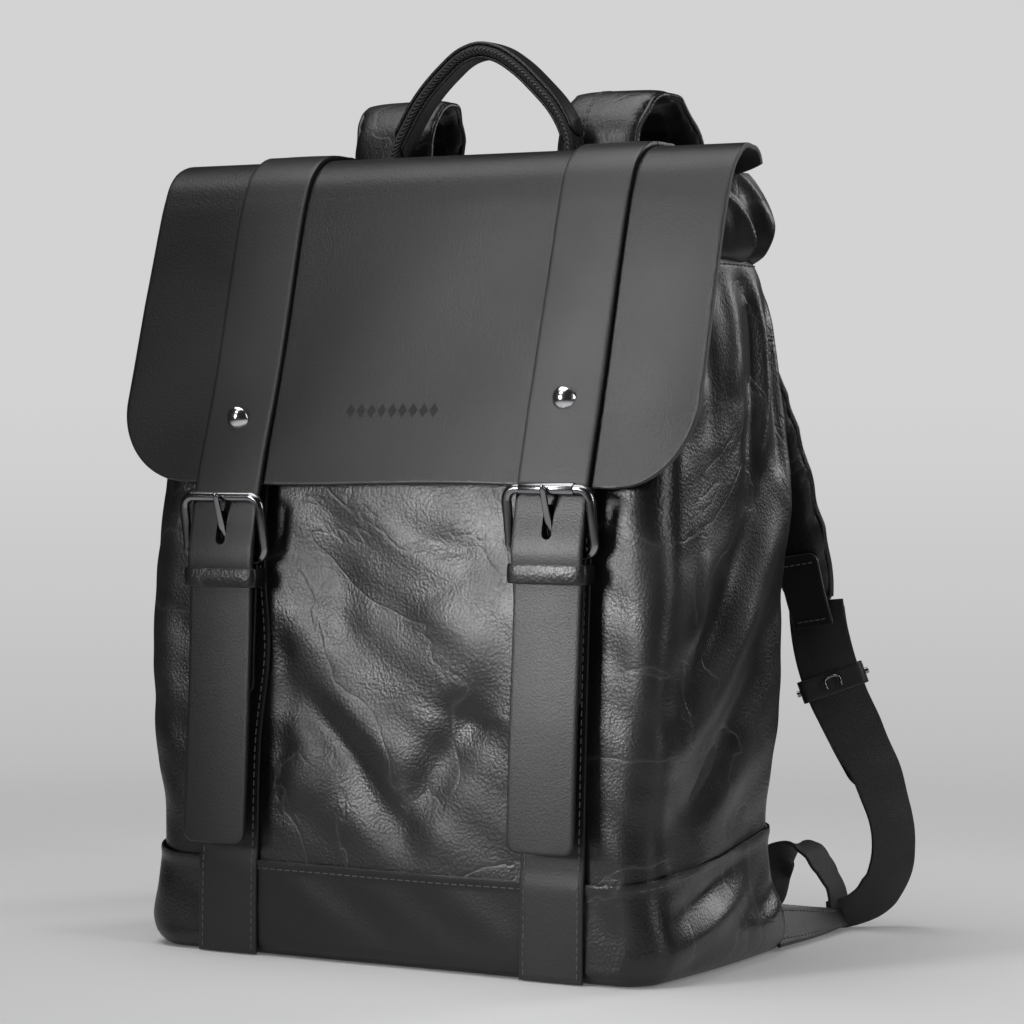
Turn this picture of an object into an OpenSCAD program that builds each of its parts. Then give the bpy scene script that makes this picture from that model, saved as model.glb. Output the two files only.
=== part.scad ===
// Leather backpack with a buckled front flap. Millimetres, +Z up, front faces -Y.
// The origin is the centre of the base, on the floor.

/* [Body] */
// Width of the body between its side panels' outer faces
body_w = 300; // [280:1:320]
// Depth of the base, front to back
base_depth = 164; // [156:1:172]
// Thickness of the leather panels with their lining
panel_t = 3; // [2:0.1:3.4]
// Thickness of the base band and of other single leather layers
layer_t = 1.6; // [1.2:0.1:2]
// Height of the base band at the front
band_h = 50; // [40:1:60]
// Height of the seam between the body and its collar
seam_z = 361; // [356:1:366]

/* [Flap] */
// Width of the flap
flap_w = 342; // [320:1:350]
// Thickness of the flap leather
flap_t = 2.8; // [2:0.1:3]
// Height of the flap's lower edge
flap_low_z = 246; // [240:1:250]
// Radius of the flap's lower corners
flap_corner_r = 42; // [20:1:55]
// Leather left between the flap's two bends, as a gap between its stiff parts
bend_gap = 0.6; // [0.4:0.1:1]

/* [Straps and buckles] */
// Distance of each strap's centre line from the middle
strap_x = 97; // [90:0.5:104]
// Width of the flap straps
strap_w = 40; // [36:0.5:41]
// Thickness of the flap straps
strap_t = 2.6; // [2:0.1:2.8]
// Width of the straps sewn to the body
body_strap_w = 36; // [30:0.5:38]
// Outer width of the buckle frame
buckle_w = 53; // [51:0.5:56]
// Radius of the buckle wire
wire_r = 2.6; // [2.4:0.1:2.8]
// Radius of the bar inside the roller
roller_bar_r = 2.2; // [2:0.1:2.4]
// Outer radius of the roller
roller_r = 3.3; // [3.1:0.1:3.4]
// Length of the roller
roller_len = 31; // [26:0.5:32]
// Radius of the bar that holds the prong
prong_bar_r = 2.3; // [2:0.1:2.3]
// Radial clearance of the roller and of the prong on their bars
fit_gap = 0.1; // [0.05:0.01:0.1]
// Diameter of the rivet caps
rivet_d = 12.5; // [10:0.5:14]
// Lowest point of the right strap tail
tail_low_z = 65; // [55:1:90]
// How much lower the left buckle and its rivet sit than the right ones
left_drop = 6; // [0:0.5:8]

/* [Handle and shoulder straps] */
// Distance between the outer faces of the handle's feet
handle_span = 122; // [110:1:126]
// Height of the handle's top
handle_top_z = 481; // [470:1:490]
// Thickness of the handle webbing
handle_t = 5.6; // [4:0.1:6]
// Width of the handle
handle_w = 15; // [12:0.5:15]
// Width of the shoulder pads
pad_w = 56; // [50:1:60]
// Thickness of the shoulder pads
pad_t = 10; // [8:0.5:12]
// Width of the webbing
webbing_w = 32; // [28:1:34]
// Thickness of the webbing
webbing_t = 1.8; // [1.4:0.1:2]

/* [Hidden] */
$fn = 48;

half_w = body_w / 2;
front_y = -base_depth / 2;
back_y = base_depth / 2;

// Side-view outlines, as [y, z] points. Fronts run from the top down, backs from the bottom up.
front_line = [[-37, seam_z], [-57, 300], [-71, 245], [-74, 210], [-75.5, 187],
              [-78.5, 130], [front_y + 1, 60], [front_y, 0]];
back_line = [[back_y, 0], [69, 33], [68, 130], [72, 183], [77, 273], [75, 299], [66, 346], [51, seam_z]];
collar_front_line = [[-28, 398], [-37, seam_z + 0.4]];
collar_back_line = [[51, seam_z + 0.4], [12, 404]];
root_line = [[1.8, 416.5], [8, 416.5], [13, 413], [15.6, 406]];
flap_top_line = [[1.8 - bend_gap, 416.5], [-14, 416.5], [-23, 413], [-31, 406], [-33, 403]];
flap_front_line = [[-33.3, 402.5], [-37, 394], [-42, 379], [-47, 361], [-51, 342], [-56, 322],
                   [-62, 303], [-68, 290], [-80, 248], [-80.6, flap_low_z]];
// The strap lies on the flap, passes behind the roller and over the prong's bar
strap_line = [[-33.3, 402.5], [-37, 394], [-42, 379], [-47, 361], [-51, 342], [-56, 322],
              [-62, 303], [-68, 290], [-80, 248], [-81, 244], [-83.4, 232], [-87, 212], [-86.4, 199]];
tail_line = [[-86.2, 197], [-86.8, 180], [-93.5, tail_low_z]];
chape_line = [[-79, 212], [-79.2, 204], [-80.5, 187], [-83.5, 150], [-83.7, 135]];
chape_t = 1.8;
snap_z = 150;

// Buckle: its top bar carries the roller, its lower bar the prong and the chape
roller_pos = [-87.6, 244.5];
prong_pos = [-82.2, 212];
frame_len = norm(roller_pos - prong_pos);
frame_tilt = atan((prong_pos[0] - roller_pos[0]) / (roller_pos[1] - prong_pos[1]));
bar_x = buckle_w / 2 - wire_r;
corner_r = 6.5;
prong_w = 4;
prong_t = 2.8;
prong_line = [[-83.4, 214], [-83.2, 220.5], [-87.8, 231], [-93.3, 246.5]];
prong_slot = [219.5, 237];
keeper_z = [197.6, 207.4];
keeper_y = [-91.2, -77.4];
flap_slope = 12 / 42; // of the flap above its lower edge, out over down
left_shift = [-left_drop * flap_slope, -left_drop];
keeper_t = [1.8, 1.3];

// Handle: where its feet stand, how far its sides are straightened, and its leather strip
handle_foot_z = 417.2;
handle_y = 12;
handle_curve = 1.35;
strip_t = 2;

// Shoulder strap, right side: centre points, widths across and the direction of the width
pad_path = [[64, 26, 410], [64, 29, 432], [65, 40, 447], [67, 56, 449], [71, 70, 436], [77, 80, 410],
            [86, 93, 365], [98, 110, 315], [111, 125, 262], [123, 136, 214], [131, 140.5, 184], [133.5, 141.7, 172]];
pad_widths = [52, 54, pad_w, pad_w, pad_w, pad_w, pad_w, pad_w, pad_w, 52, 44, 28];
webbing_path = [[135, 142, 171], [144.6, 146.4, 130], [154.5, 150.5, 108], [165, 156, 84], [170, 161, 62],
                [170, 165, 41], [165, 167, 25], [158, 164, 15]];
webbing_sides = [[1, 0, 0], [1, 0, 0], [1, 0, 0], [0.95, 0.25, 0], [0.8, 0.6, 0],
                 [0.5, 0.85, 0], [0.2, 0.95, 0], [0, 1, 0]];
slack_path = [[136, 134, 12], [134.5, 136, 22], [133.5, 138, 32], [130.5, 139, 41], [125, 139, 45],
              [118, 138, 42], [113, 136, 34], [111, 130, 24], [110, 112, 15], [110, 87, 13]];
slack_sides = [[0, 1, 0], [0, 1, 0], [0, 0.97, -0.2], [0, 0.93, -0.35], [0, 0.93, -0.35],
               [0.1, 0.95, -0.25], [0.4, 0.9, 0], [0.8, 0.6, 0], [1, 0.1, 0], [1, 0, 0]];
slack_w = 26;
tab_path = [[150, 86, 13.5], [148.5, 115, 10], [146, 144, 6.5]];
tab_widths = [24, 16, 8];
adjuster_share = 0.72; // of the way down the webbing's first stretch
adjuster_at = webbing_path[0] + adjuster_share * (webbing_path[1] - webbing_path[0]);

// Strip geometry: a unit vector, the left normal along a line, and a line moved sideways
function unit(v) = v / norm(v);
function left_of(d) = [-d[1], d[0]];
function line_normal(p, i) = left_of(unit(p[min(i + 1, len(p) - 1)] - p[max(i - 1, 0)]));
function moved(p, t) = [for (i = [0:len(p) - 1]) p[i] + t * line_normal(p, i)];
function reversed(p) = [for (i = [len(p) - 1:-1:0]) p[i]];
function along(p, i) = unit(p[min(i + 1, len(p) - 1)] - p[max(i - 1, 0)]);
function square_to(side, d) = unit(side - (side * d) * d);

// Extrudes a side-view outline from x0 to x1
module across(x0, x1) {
    rotate([90, 0, 90]) translate([0, 0, x0]) linear_extrude(x1 - x0) children();
}

// A sheet that follows a side-view line, between two distances to its left
module sheet(line, near, far, x0, x1) {
    across(x0, x1) polygon(concat(moved(line, near), reversed(moved(line, far))));
}

// Extrudes a front-view outline, as [x, z], from y0 to y1
module through(y0, y1) {
    translate([0, y1, 0]) rotate([90, 0, 0]) linear_extrude(y1 - y0) children();
}

// A flat band that follows points in space: one ring of four corners at each point
module band(path, widths, sides, t) {
    n = len(path);
    rings = [for (i = [0:n - 1])
        let (d = along(path, i), w = square_to(sides[i], d) * widths[i] / 2, h = cross(d, unit(w)) * t / 2)
        each [path[i] - w - h, path[i] + w - h, path[i] + w + h, path[i] - w + h]];
    walls = [for (i = [0:n - 2], k = [0:3])
        let (a = 4 * i + k, b = 4 * i + (k + 1) % 4)
        each [[a, b, b + 4], [a, b + 4, a + 4]]];
    last = 4 * (n - 1);
    ends = [[0, 2, 1], [0, 3, 2], [last, last + 1, last + 2], [last, last + 2, last + 3]];
    polyhedron(rings, [for (f = concat(walls, ends)) reversed(f)]);
}

// A sheet's lower corners are rounded, in front view
module rounded_drop(w, z0, z1, r) {
    translate([-w / 2, z0 + r]) square([w, z1 - z0 - r]);
    translate([-w / 2 + r, z0]) square([w - 2 * r, r + 1]);
    for (s = [-1, 1]) translate([s * (w / 2 - r), z0 + r]) circle(r);
}

module on_left() { mirror([1, 0, 0]) children(); }
module on_low_left() { translate([0, left_shift[0], left_shift[1]]) on_left() children(); }
module at_strap() { translate([strap_x, 0, 0]) children(); }

// ---- Body ----
module front_panel() { color("#1b1b1c") sheet(front_line, 0, panel_t, -half_w, half_w); }

module side_outline(inset) {
    polygon(concat(moved(front_line, inset), moved(back_line, inset)));
}

module side_panel() {
    color("#18181a") across(half_w - panel_t, half_w) intersection() {
        side_outline(panel_t + 0.2);
        translate([-200, panel_t + 0.2]) square([400, 500]);
    }
}

module back_panel() { color("#161617") sheet(back_line, 0, panel_t, -half_w, half_w); }

module back_pads() {
    pad_line = [[68.6, 70], [68.6, 130], [72.6, 183], [77.6, 273], [76, 296]];
    for (s = [-1, 1])
        color("#111112") sheet(pad_line, -8, -0.6, s * 66 - 46, s * 66 + 46);
}

module base_panel() {
    color("#1a1a1b") translate([-half_w + 0.2, front_y + panel_t + 0.4, 0])
        cube([body_w - 0.4, base_depth - 2 * panel_t - 2.2, panel_t]);
}

module base_stiffener() {
    color("#3a3430") translate([-half_w + 8, front_y + 9, panel_t + 0.3])
        cube([body_w - 16, base_depth - 32, 2]);
}

module base_band_front() {
    inner = strap_x - body_strap_w / 2 - 0.3;
    outer = strap_x + body_strap_w / 2 + 0.3;
    band_line = [[front_y + band_h / 60, band_h], [front_y, 0]];
    color("#202022") {
        sheet(band_line, -layer_t, -0.1, -inner, inner);
        for (s = [0, 1]) mirror([s, 0, 0]) sheet(band_line, -layer_t, -0.1, outer, half_w);
    }
}

module base_band_side() {
    color("#1c1c1e") across(half_w + 0.1, half_w + layer_t)
        polygon([[front_y, 0], [back_y, 0], [69, 33], [67, 66], [0, 58], [front_y + 1, 56]]);
}

module body_strap() {
    strap_run = [[-52.5, 313], [-57, 300], [-71, 245], [-74, 210], [-75.5, 187],
                 [-78.5, 130], [front_y + 1, 60], [front_y, 0.5]];
    color("#222224") at_strap()
        sheet(strap_run, -2.3, -0.4, -body_strap_w / 2, body_strap_w / 2);
}

// ---- Collar and mouth ----
module collar_front() { color("#1a1a1b") sheet(collar_front_line, 0, 2.4, -half_w + 3, half_w - 3); }
module collar_back() { color("#1a1a1b") sheet(collar_back_line, 0, 2.4, -half_w + 3, half_w - 3); }

module collar_side() {
    color("#1b1b1c") across(half_w - 6, half_w - 3.6)
        polygon([[-33.6, seam_z + 0.6], [46, seam_z + 0.6], [8.6, 402], [-24.8, 398]]);
}

module laptop_divider() {
    color("#2a2a2c") translate([-136, 46, panel_t + 3]) cube([272, 5, 285]);
}

module divider_strap() {
    color("#202022") translate([-14, 51.4, 280]) cube([28, 14, 1.6]);
}

module slip_pocket() {
    color("#2e2e31") difference() {
        translate([-92, 38, 68.6]) cube([184, 7.8, 131.4]);
        translate([-90.4, 39.4, 70]) cube([180.8, 10, 140]);
    }
}

module zip_tapes() {
    color("#101011") {
        translate([-136, -25, 384]) cube([272, 0.9, 12]);
        translate([-136, 4.6, 390]) cube([272, 0.9, 12]);
    }
}

module zip_teeth() {
    color("#7d7f82") for (x = [-130:5:130]) {
        translate([x - 1, -25.6, 396.2]) cube([2, 2, 3.2]);
        translate([x - 1, 4.2, 402.2]) cube([2, 2, 3.2]);
    }
}

puller_pos = [-134, 0.2, 399];

module zip_slider() {
    color("#8a8c90") difference() {
        union() {
            translate([-138.5, 1.6, 396]) cube([9, 2.2, 12]);
            translate([-138.5, -1.8, 396.6]) cube([2.4, 4, 4.8]);
            translate([-131.9, -1.8, 396.6]) cube([2.4, 4, 4.8]);
        }
        translate([-140, puller_pos[1], puller_pos[2]]) rotate([0, 90, 0]) cylinder(r = 1, h = 12);
    }
}

module zip_puller() {
    color("#9a9ca0") {
        translate([-138.2, puller_pos[1], puller_pos[2]]) rotate([0, 90, 0]) cylinder(r = 0.93, h = 8.4);
        translate([-135.6, -0.6, 371]) cube([3.2, 1.6, 28]);
    }
}

module snap_sockets() {
    color("#8b8d90") for (s = [-1, 1])
        translate([s * strap_x, -80.2, snap_z]) rotate([90, 0, 0]) cylinder(r = 7, h = 1.1);
}

module flap_root() { color("#202022") sheet(root_line, 0, -flap_t, -flap_w / 2 + 20, flap_w / 2 - 20); }

module handle_patches() {
    color("#1e1e20") for (s = [-1, 1])
        translate([s * 57 - 11, 16.4, 401.5]) cube([22, 2, 14.3]);
}

// ---- Flap and its straps ----
module flap_top() { color("#212123") sheet(flap_top_line, 0, flap_t, -flap_w / 2, flap_w / 2); }

module flap_front() {
    color("#212123") intersection() {
        sheet(flap_front_line, 0, flap_t, -flap_w / 2, flap_w / 2);
        through(-100, 0) rounded_drop(flap_w, flap_low_z - 0.4, 420, flap_corner_r);
    }
}

module strap_top() {
    color("#262628") at_strap() sheet(flap_top_line, -strap_t, 0, -strap_w / 2, strap_w / 2);
}

// The strap leaves the flap below its rivet, where shift moves its lower points
module strap_front(shift = [0, 0]) {
    line = [for (i = [0:len(strap_line) - 1]) i < 8 ? strap_line[i] : strap_line[i] + shift];
    color("#262628") at_strap() difference() {
        sheet(line, -strap_t, -0.15, -strap_w / 2, strap_w / 2);
        through(-97, -75) hull() {
            translate([0, prong_slot[0] + 3 + shift[1]]) circle(3);
            translate([0, prong_slot[1] - 3 + shift[1]]) circle(3);
        }
    }
}

module rivets() {
    cap_r = 8;
    lean = atan(flap_slope);
    cap_drop = sqrt(cap_r * cap_r - rivet_d * rivet_d / 4);
    color("#c9ccd0") for (at = [[strap_x, -68.3, 289], [-strap_x, -68.3 + left_shift[0], 289 + left_shift[1]]])
        translate(at) rotate([90 - lean, 0, 0]) translate([0, 0, strap_t + 0.1])
            intersection() {
                translate([0, 0, -cap_drop]) sphere(cap_r);
                cylinder(r = rivet_d / 2, h = cap_r);
            }
}

// Only the top of the chape follows the buckle down; its end stays at the snap
module chape(shift = [0, 0]) {
    loop_r = prong_bar_r + fit_gap;
    share = [1, 1, 0.6, 0, 0];
    bar = prong_pos + shift;
    color("#1f1f21") at_strap() difference() {
        union() {
            sheet([for (i = [0:4]) chape_line[i] + share[i] * shift], -chape_t, 0, -17, 17);
            translate([-17, bar[0], bar[1]]) rotate([0, 90, 0]) cylinder(r = loop_r + chape_t, h = 34);
        }
        translate([-30, bar[0], bar[1]]) rotate([0, 90, 0]) cylinder(r = loop_r, h = 60);
        translate([-prong_w / 2 - 1, bar[0] - 7.8, bar[1] - 5.5]) cube([prong_w + 2, 14, 14]);
    }
}

module frame_corner(x, y, turn) {
    translate([x, y, 0]) rotate([0, 0, turn])
        rotate_extrude(angle = 90) translate([corner_r, 0]) circle(wire_r);
}

module buckle_frame() {
    edge_x = bar_x - corner_r;
    color("#9b9ea3") at_strap() translate([0, prong_pos[0], prong_pos[1]]) rotate([90 + frame_tilt, 0, 0]) {
        for (s = [0, 1]) mirror([s, 0, 0]) {
            frame_corner(edge_x, frame_len - corner_r, 0);
            frame_corner(edge_x, corner_r, 270);
            translate([bar_x, corner_r, 0]) rotate([-90, 0, 0]) cylinder(r = wire_r, h = frame_len - 2 * corner_r);
            translate([roller_len / 2 + 0.3, frame_len, 0]) rotate([0, 90, 0])
                cylinder(r = wire_r, h = edge_x - roller_len / 2 - 0.3);
        }
        translate([-edge_x, frame_len, 0]) rotate([0, 90, 0]) cylinder(r = roller_bar_r, h = 2 * edge_x);
        translate([-edge_x, 0, 0]) rotate([0, 90, 0]) cylinder(r = prong_bar_r, h = 2 * edge_x);
    }
}

module snap_studs() {
    color("#8b8d90") for (s = [-1, 1])
        translate([s * strap_x, -82, snap_z]) rotate([90, 0, 0]) cylinder(r = 5.5, h = 0.9);
}

module keeper() {
    color("#1a1a1b") at_strap() difference() {
        translate([-22.4, keeper_y[0], keeper_z[0]])
            cube([44.8, keeper_y[1] - keeper_y[0], keeper_z[1] - keeper_z[0]]);
        translate([-20.6, keeper_y[0] + keeper_t[0], keeper_z[0] - 1])
            cube([41.2, keeper_y[1] - keeper_y[0] - keeper_t[0] - keeper_t[1], 20]);
    }
}

module roller() {
    color("#b4b7bb") at_strap() translate([-roller_len / 2, roller_pos[0], roller_pos[1]]) rotate([0, 90, 0])
        difference() {
            cylinder(r = roller_r, h = roller_len);
            translate([0, 0, -1]) cylinder(r = roller_bar_r + fit_gap, h = roller_len + 2);
        }
}

module prong() {
    loop_r = prong_bar_r + fit_gap;
    color("#a9acb0") at_strap() difference() {
        union() {
            sheet(prong_line, -prong_t / 2, prong_t / 2, -prong_w / 2, prong_w / 2);
            translate([-prong_w / 2, prong_pos[0], prong_pos[1]]) rotate([0, 90, 0])
                cylinder(r = loop_r + 1.5, h = prong_w);
        }
        translate([-30, prong_pos[0], prong_pos[1]]) rotate([0, 90, 0]) cylinder(r = loop_r, h = 60);
    }
}

module tail() {
    color("#28282a") at_strap() intersection() {
        sheet(tail_line, -strap_t, 0, -strap_w / 2 + 1, strap_w / 2 - 1);
        through(-110, -60) rounded_drop(strap_w - 2, tail_low_z - 0.6, 210, 5);
    }
}

// ---- Handle ----
// From one foot to the other, as [x, z], on a curve between an ellipse and a straight-sided peak
function shaped(v) = sign(v) * pow(abs(v), handle_curve);
function arch(steps = 24) = [for (i = [0:steps])
    let (a = 180 * i / steps)
    [handle_span / 2 * shaped(cos(a)), handle_foot_z + (handle_top_z - handle_foot_z) * shaped(sin(a))]];

module arch_band(outer, inner, w) {
    intersection() {
        through(handle_y - w / 2, handle_y + w / 2)
            polygon(concat(moved(arch(), outer), reversed(moved(arch(), inner))));
        translate([-100, 0, handle_foot_z]) cube([200, 40, 80]);
    }
}

module handle_webbing() { color("#2b2b2d") arch_band(strip_t + 0.1, strip_t + 0.1 + handle_t, handle_w); }

module handle_strip() {
    color("#1e1e20") intersection() {
        arch_band(0, strip_t, handle_w - 2);
        translate([-100, 0, handle_foot_z + 20]) cube([200, 40, 80]);
    }
}

// ---- Shoulder straps ----
module shoulder_pad() {
    color("#19191a") band(pad_path, pad_widths, [for (p = pad_path) [1, 0, 0]], pad_t);
}

module pad_tab() {
    tab_run = [[128.5, 129.8, 205], [132, 132.4, 185], [135.5, 137.2, 166]];
    color("#2a2a2c") band(tab_run, [22, 22, 22], [for (p = tab_run) [1, 0, 0]], 1.6);
}

module strap_webbing() {
    color("#141415") band(webbing_path, [for (p = webbing_path) webbing_w], webbing_sides, webbing_t);
}

module slack_loop() {
    color("#1d1d1e") band(slack_path, [for (p = slack_path) slack_w], slack_sides, webbing_t);
}

module bottom_tab() {
    color("#252527") band(tab_path, tab_widths, [for (p = tab_path) [-0.4, 0, 0.9]], 2.4);
}

module adjuster() {
    d = unit(webbing_path[1] - webbing_path[0]);
    w = square_to([1, 0, 0], d);
    n = cross(d, w);
    frame = [[w[0], n[0], d[0], adjuster_at[0]], [w[1], n[1], d[1], adjuster_at[1]], [w[2], n[2], d[2], adjuster_at[2]]];
    slot_w = webbing_w + 1;
    color("#4a4c50") multmatrix(frame) difference() {
        translate([-slot_w / 2 - 2.5, -3, -7]) cube([slot_w + 5, 6, 14]);
        translate([-slot_w / 2, -1.5, -8]) cube([slot_w, 3, 16]);
    }
}

front_panel();
on_left() side_panel();  // side_left
side_panel();  // side_right
back_panel();
back_pads();
base_panel();
base_stiffener();
base_band_front();
on_left() base_band_side();  // base_band_left
base_band_side();  // base_band_right
on_left() body_strap();  // body_strap_left
body_strap();  // body_strap_right
collar_front();
collar_back();
on_left() collar_side();  // collar_left
collar_side();  // collar_right
laptop_divider();
divider_strap();
slip_pocket();
zip_tapes();
zip_teeth();
zip_slider();
zip_puller();
snap_sockets();
flap_root();
handle_patches();
on_left() bottom_tab();  // bottom_tab_left
bottom_tab();  // bottom_tab_right
on_left() slack_loop();  // slack_loop_left
slack_loop();  // slack_loop_right
flap_top();
on_left() strap_top();  // strap_top_left
strap_top();  // strap_top_right
flap_front();
on_left() strap_front(left_shift);  // strap_front_left
strap_front();  // strap_front_right
rivets();
on_left() chape(left_shift);  // chape_left
chape();  // chape_right
on_low_left() buckle_frame();  // buckle_frame_left
buckle_frame();  // buckle_frame_right
snap_studs();
on_low_left() keeper();  // keeper_left
keeper();  // keeper_right
on_low_left() roller();  // roller_left
roller();  // roller_right
on_low_left() prong();  // prong_left
prong();  // prong_right
on_low_left() tail();  // tail_left
tail();  // tail_right
handle_webbing();
handle_strip();
on_left() shoulder_pad();  // shoulder_pad_left
shoulder_pad();  // shoulder_pad_right
on_left() pad_tab();  // pad_tab_left
pad_tab();  // pad_tab_right
on_left() strap_webbing();  // strap_webbing_left
strap_webbing();  // strap_webbing_right
on_left() adjuster();  // adjuster_left
adjuster();  // adjuster_right
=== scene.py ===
import bpy
import contextlib
import math
import numpy as np
from mathutils import Matrix, Vector


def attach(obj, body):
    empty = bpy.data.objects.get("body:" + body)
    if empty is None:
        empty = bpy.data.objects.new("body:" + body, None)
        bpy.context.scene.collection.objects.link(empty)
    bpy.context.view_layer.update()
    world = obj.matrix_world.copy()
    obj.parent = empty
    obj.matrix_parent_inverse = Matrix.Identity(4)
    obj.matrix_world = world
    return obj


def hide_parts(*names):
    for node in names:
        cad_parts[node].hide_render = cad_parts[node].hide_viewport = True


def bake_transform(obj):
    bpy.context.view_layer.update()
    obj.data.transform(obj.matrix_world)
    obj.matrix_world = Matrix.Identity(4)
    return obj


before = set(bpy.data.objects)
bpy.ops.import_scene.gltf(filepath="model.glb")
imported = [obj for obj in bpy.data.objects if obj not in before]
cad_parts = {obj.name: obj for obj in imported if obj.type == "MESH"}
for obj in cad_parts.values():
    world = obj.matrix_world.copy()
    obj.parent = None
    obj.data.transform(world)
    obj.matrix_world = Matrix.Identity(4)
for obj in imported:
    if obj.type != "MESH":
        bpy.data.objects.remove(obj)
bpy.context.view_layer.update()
bpy.ops.object.select_all(action="DESELECT")
mm = 0.001

# view, floor and light
viewpoint = {
    "azimuth": 30.29, "elevation": 1.61, "distance": 1.8106, "aim": (0.0191, 0.0112, 0.2296), "lens": 120.7,
}
azimuth = math.radians(viewpoint["azimuth"])
elevation = math.radians(viewpoint["elevation"])
away = Vector((math.sin(azimuth) * math.cos(elevation), -math.cos(azimuth) * math.cos(elevation),
               math.sin(elevation)))
bpy.ops.object.camera_add(location=Vector(viewpoint["aim"]) + away * viewpoint["distance"])
camera = bpy.context.object
camera.rotation_euler = away.to_track_quat("Z", "Y").to_euler()
camera.data.lens = viewpoint["lens"]
camera.data.sensor_width = 36
bpy.context.scene.camera = camera

softboxes = {  # place, aim, width, height, watts, spread in degrees
    "keyLow": ((-0.33, -0.87, 0.345), (0.13, -0.08, 0.23), 0.22, 0.30, 0.29, 38),
    "keyHigh": ((-0.31, -0.82, 0.84), (0.12, -0.07, 0.34), 0.22, 0.20, 0.115, 38),
    "sideLight": ((1.35, -0.28, 0.62), (0.12, 0.0, 0.24), 0.20, 0.9, 2.4, 150),
    "rimLight": ((0.85, 1.35, 0.85), (0.1, 0.0, 0.3), 0.5, 0.8, 5.0, 160),
    "topLight": ((-0.3, -0.3, 1.7), (-0.15, -0.1, 0.1), 1.4, 1.4, 14.5, 160),
}
for name, (place, aim, width, height, watts, spread) in softboxes.items():
    bpy.ops.object.light_add(type="AREA", location=place)
    box = bpy.context.object
    box.name = name
    box.rotation_euler = (Vector(place) - Vector(aim)).to_track_quat("Z", "Y").to_euler()
    box.data.shape = "RECTANGLE"
    box.data.size = width
    box.data.size_y = height
    box.data.energy = watts
    box.data.spread = math.radians(spread)
    box.visible_camera = False


class Wire:
    # a node's output that takes part in ordinary sums
    def __init__(self, tree, socket):
        self.tree = tree
        self.socket = socket

    def maths(self, operation, first, second=None, clamp=False):
        node = self.tree.nodes.new("ShaderNodeMath")
        node.operation = operation
        node.use_clamp = clamp
        for place, value in enumerate((first, second)):
            if isinstance(value, Wire):
                self.tree.links.new(value.socket, node.inputs[place])
            elif value is not None:
                node.inputs[place].default_value = value
        return Wire(self.tree, node.outputs[0])

    def __add__(self, other):
        return self.maths("ADD", self, other)

    def __sub__(self, other):
        return self.maths("SUBTRACT", self, other)

    def __rsub__(self, other):
        return self.maths("SUBTRACT", other, self)

    def __mul__(self, other):
        return self.maths("MULTIPLY", self, other)

    def __pow__(self, other):
        return self.maths("POWER", self, other)

    def __abs__(self):
        return self.maths("ABSOLUTE", self)

    def wave(self):
        return self.maths("SINE", self)

    def clipped(self):
        return self.maths("ADD", self, 0.0, clamp=True)

    __radd__ = __add__
    __rmul__ = __mul__


class Bench:
    # where one material is put together
    def __init__(self, name):
        self.material = bpy.data.materials.new(name)
        self.material.use_nodes = True
        self.tree = self.material.node_tree
        self.shader = self.tree.nodes["Principled BSDF"]

    def plug(self, socket, value):
        if isinstance(value, Wire):
            self.tree.links.new(value.socket, socket)
        else:
            socket.default_value = value

    def node(self, kind, inputs=None, output=0, **settings):
        node = self.tree.nodes.new("ShaderNode" + kind)
        for key, value in settings.items():
            setattr(node, key, value)
        for key, value in (inputs or {}).items():
            self.plug(node.inputs[key], value)
        return Wire(self.tree, node.outputs[output])

    def tint(self, share, first, second):
        return self.node("Mix", {0: share, 6: (*first, 1) if isinstance(first, tuple) else first,
                                 7: (*second, 1) if isinstance(second, tuple) else second},
                         output=2, data_type="RGBA")

    def noise(self, place, scale, detail=2.0, distortion=0.0):
        return self.node("TexNoise", {"Vector": place, "Scale": scale, "Detail": detail,
                                      "Distortion": distortion})

    def set(self, **values):
        for key, value in values.items():
            self.plug(self.shader.inputs[key.replace("_", " ")], value)

    def relief(self, height, strength, distance):
        self.set(Normal=self.node("Bump", {"Height": height, "Strength": strength, "Distance": distance}))


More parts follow.
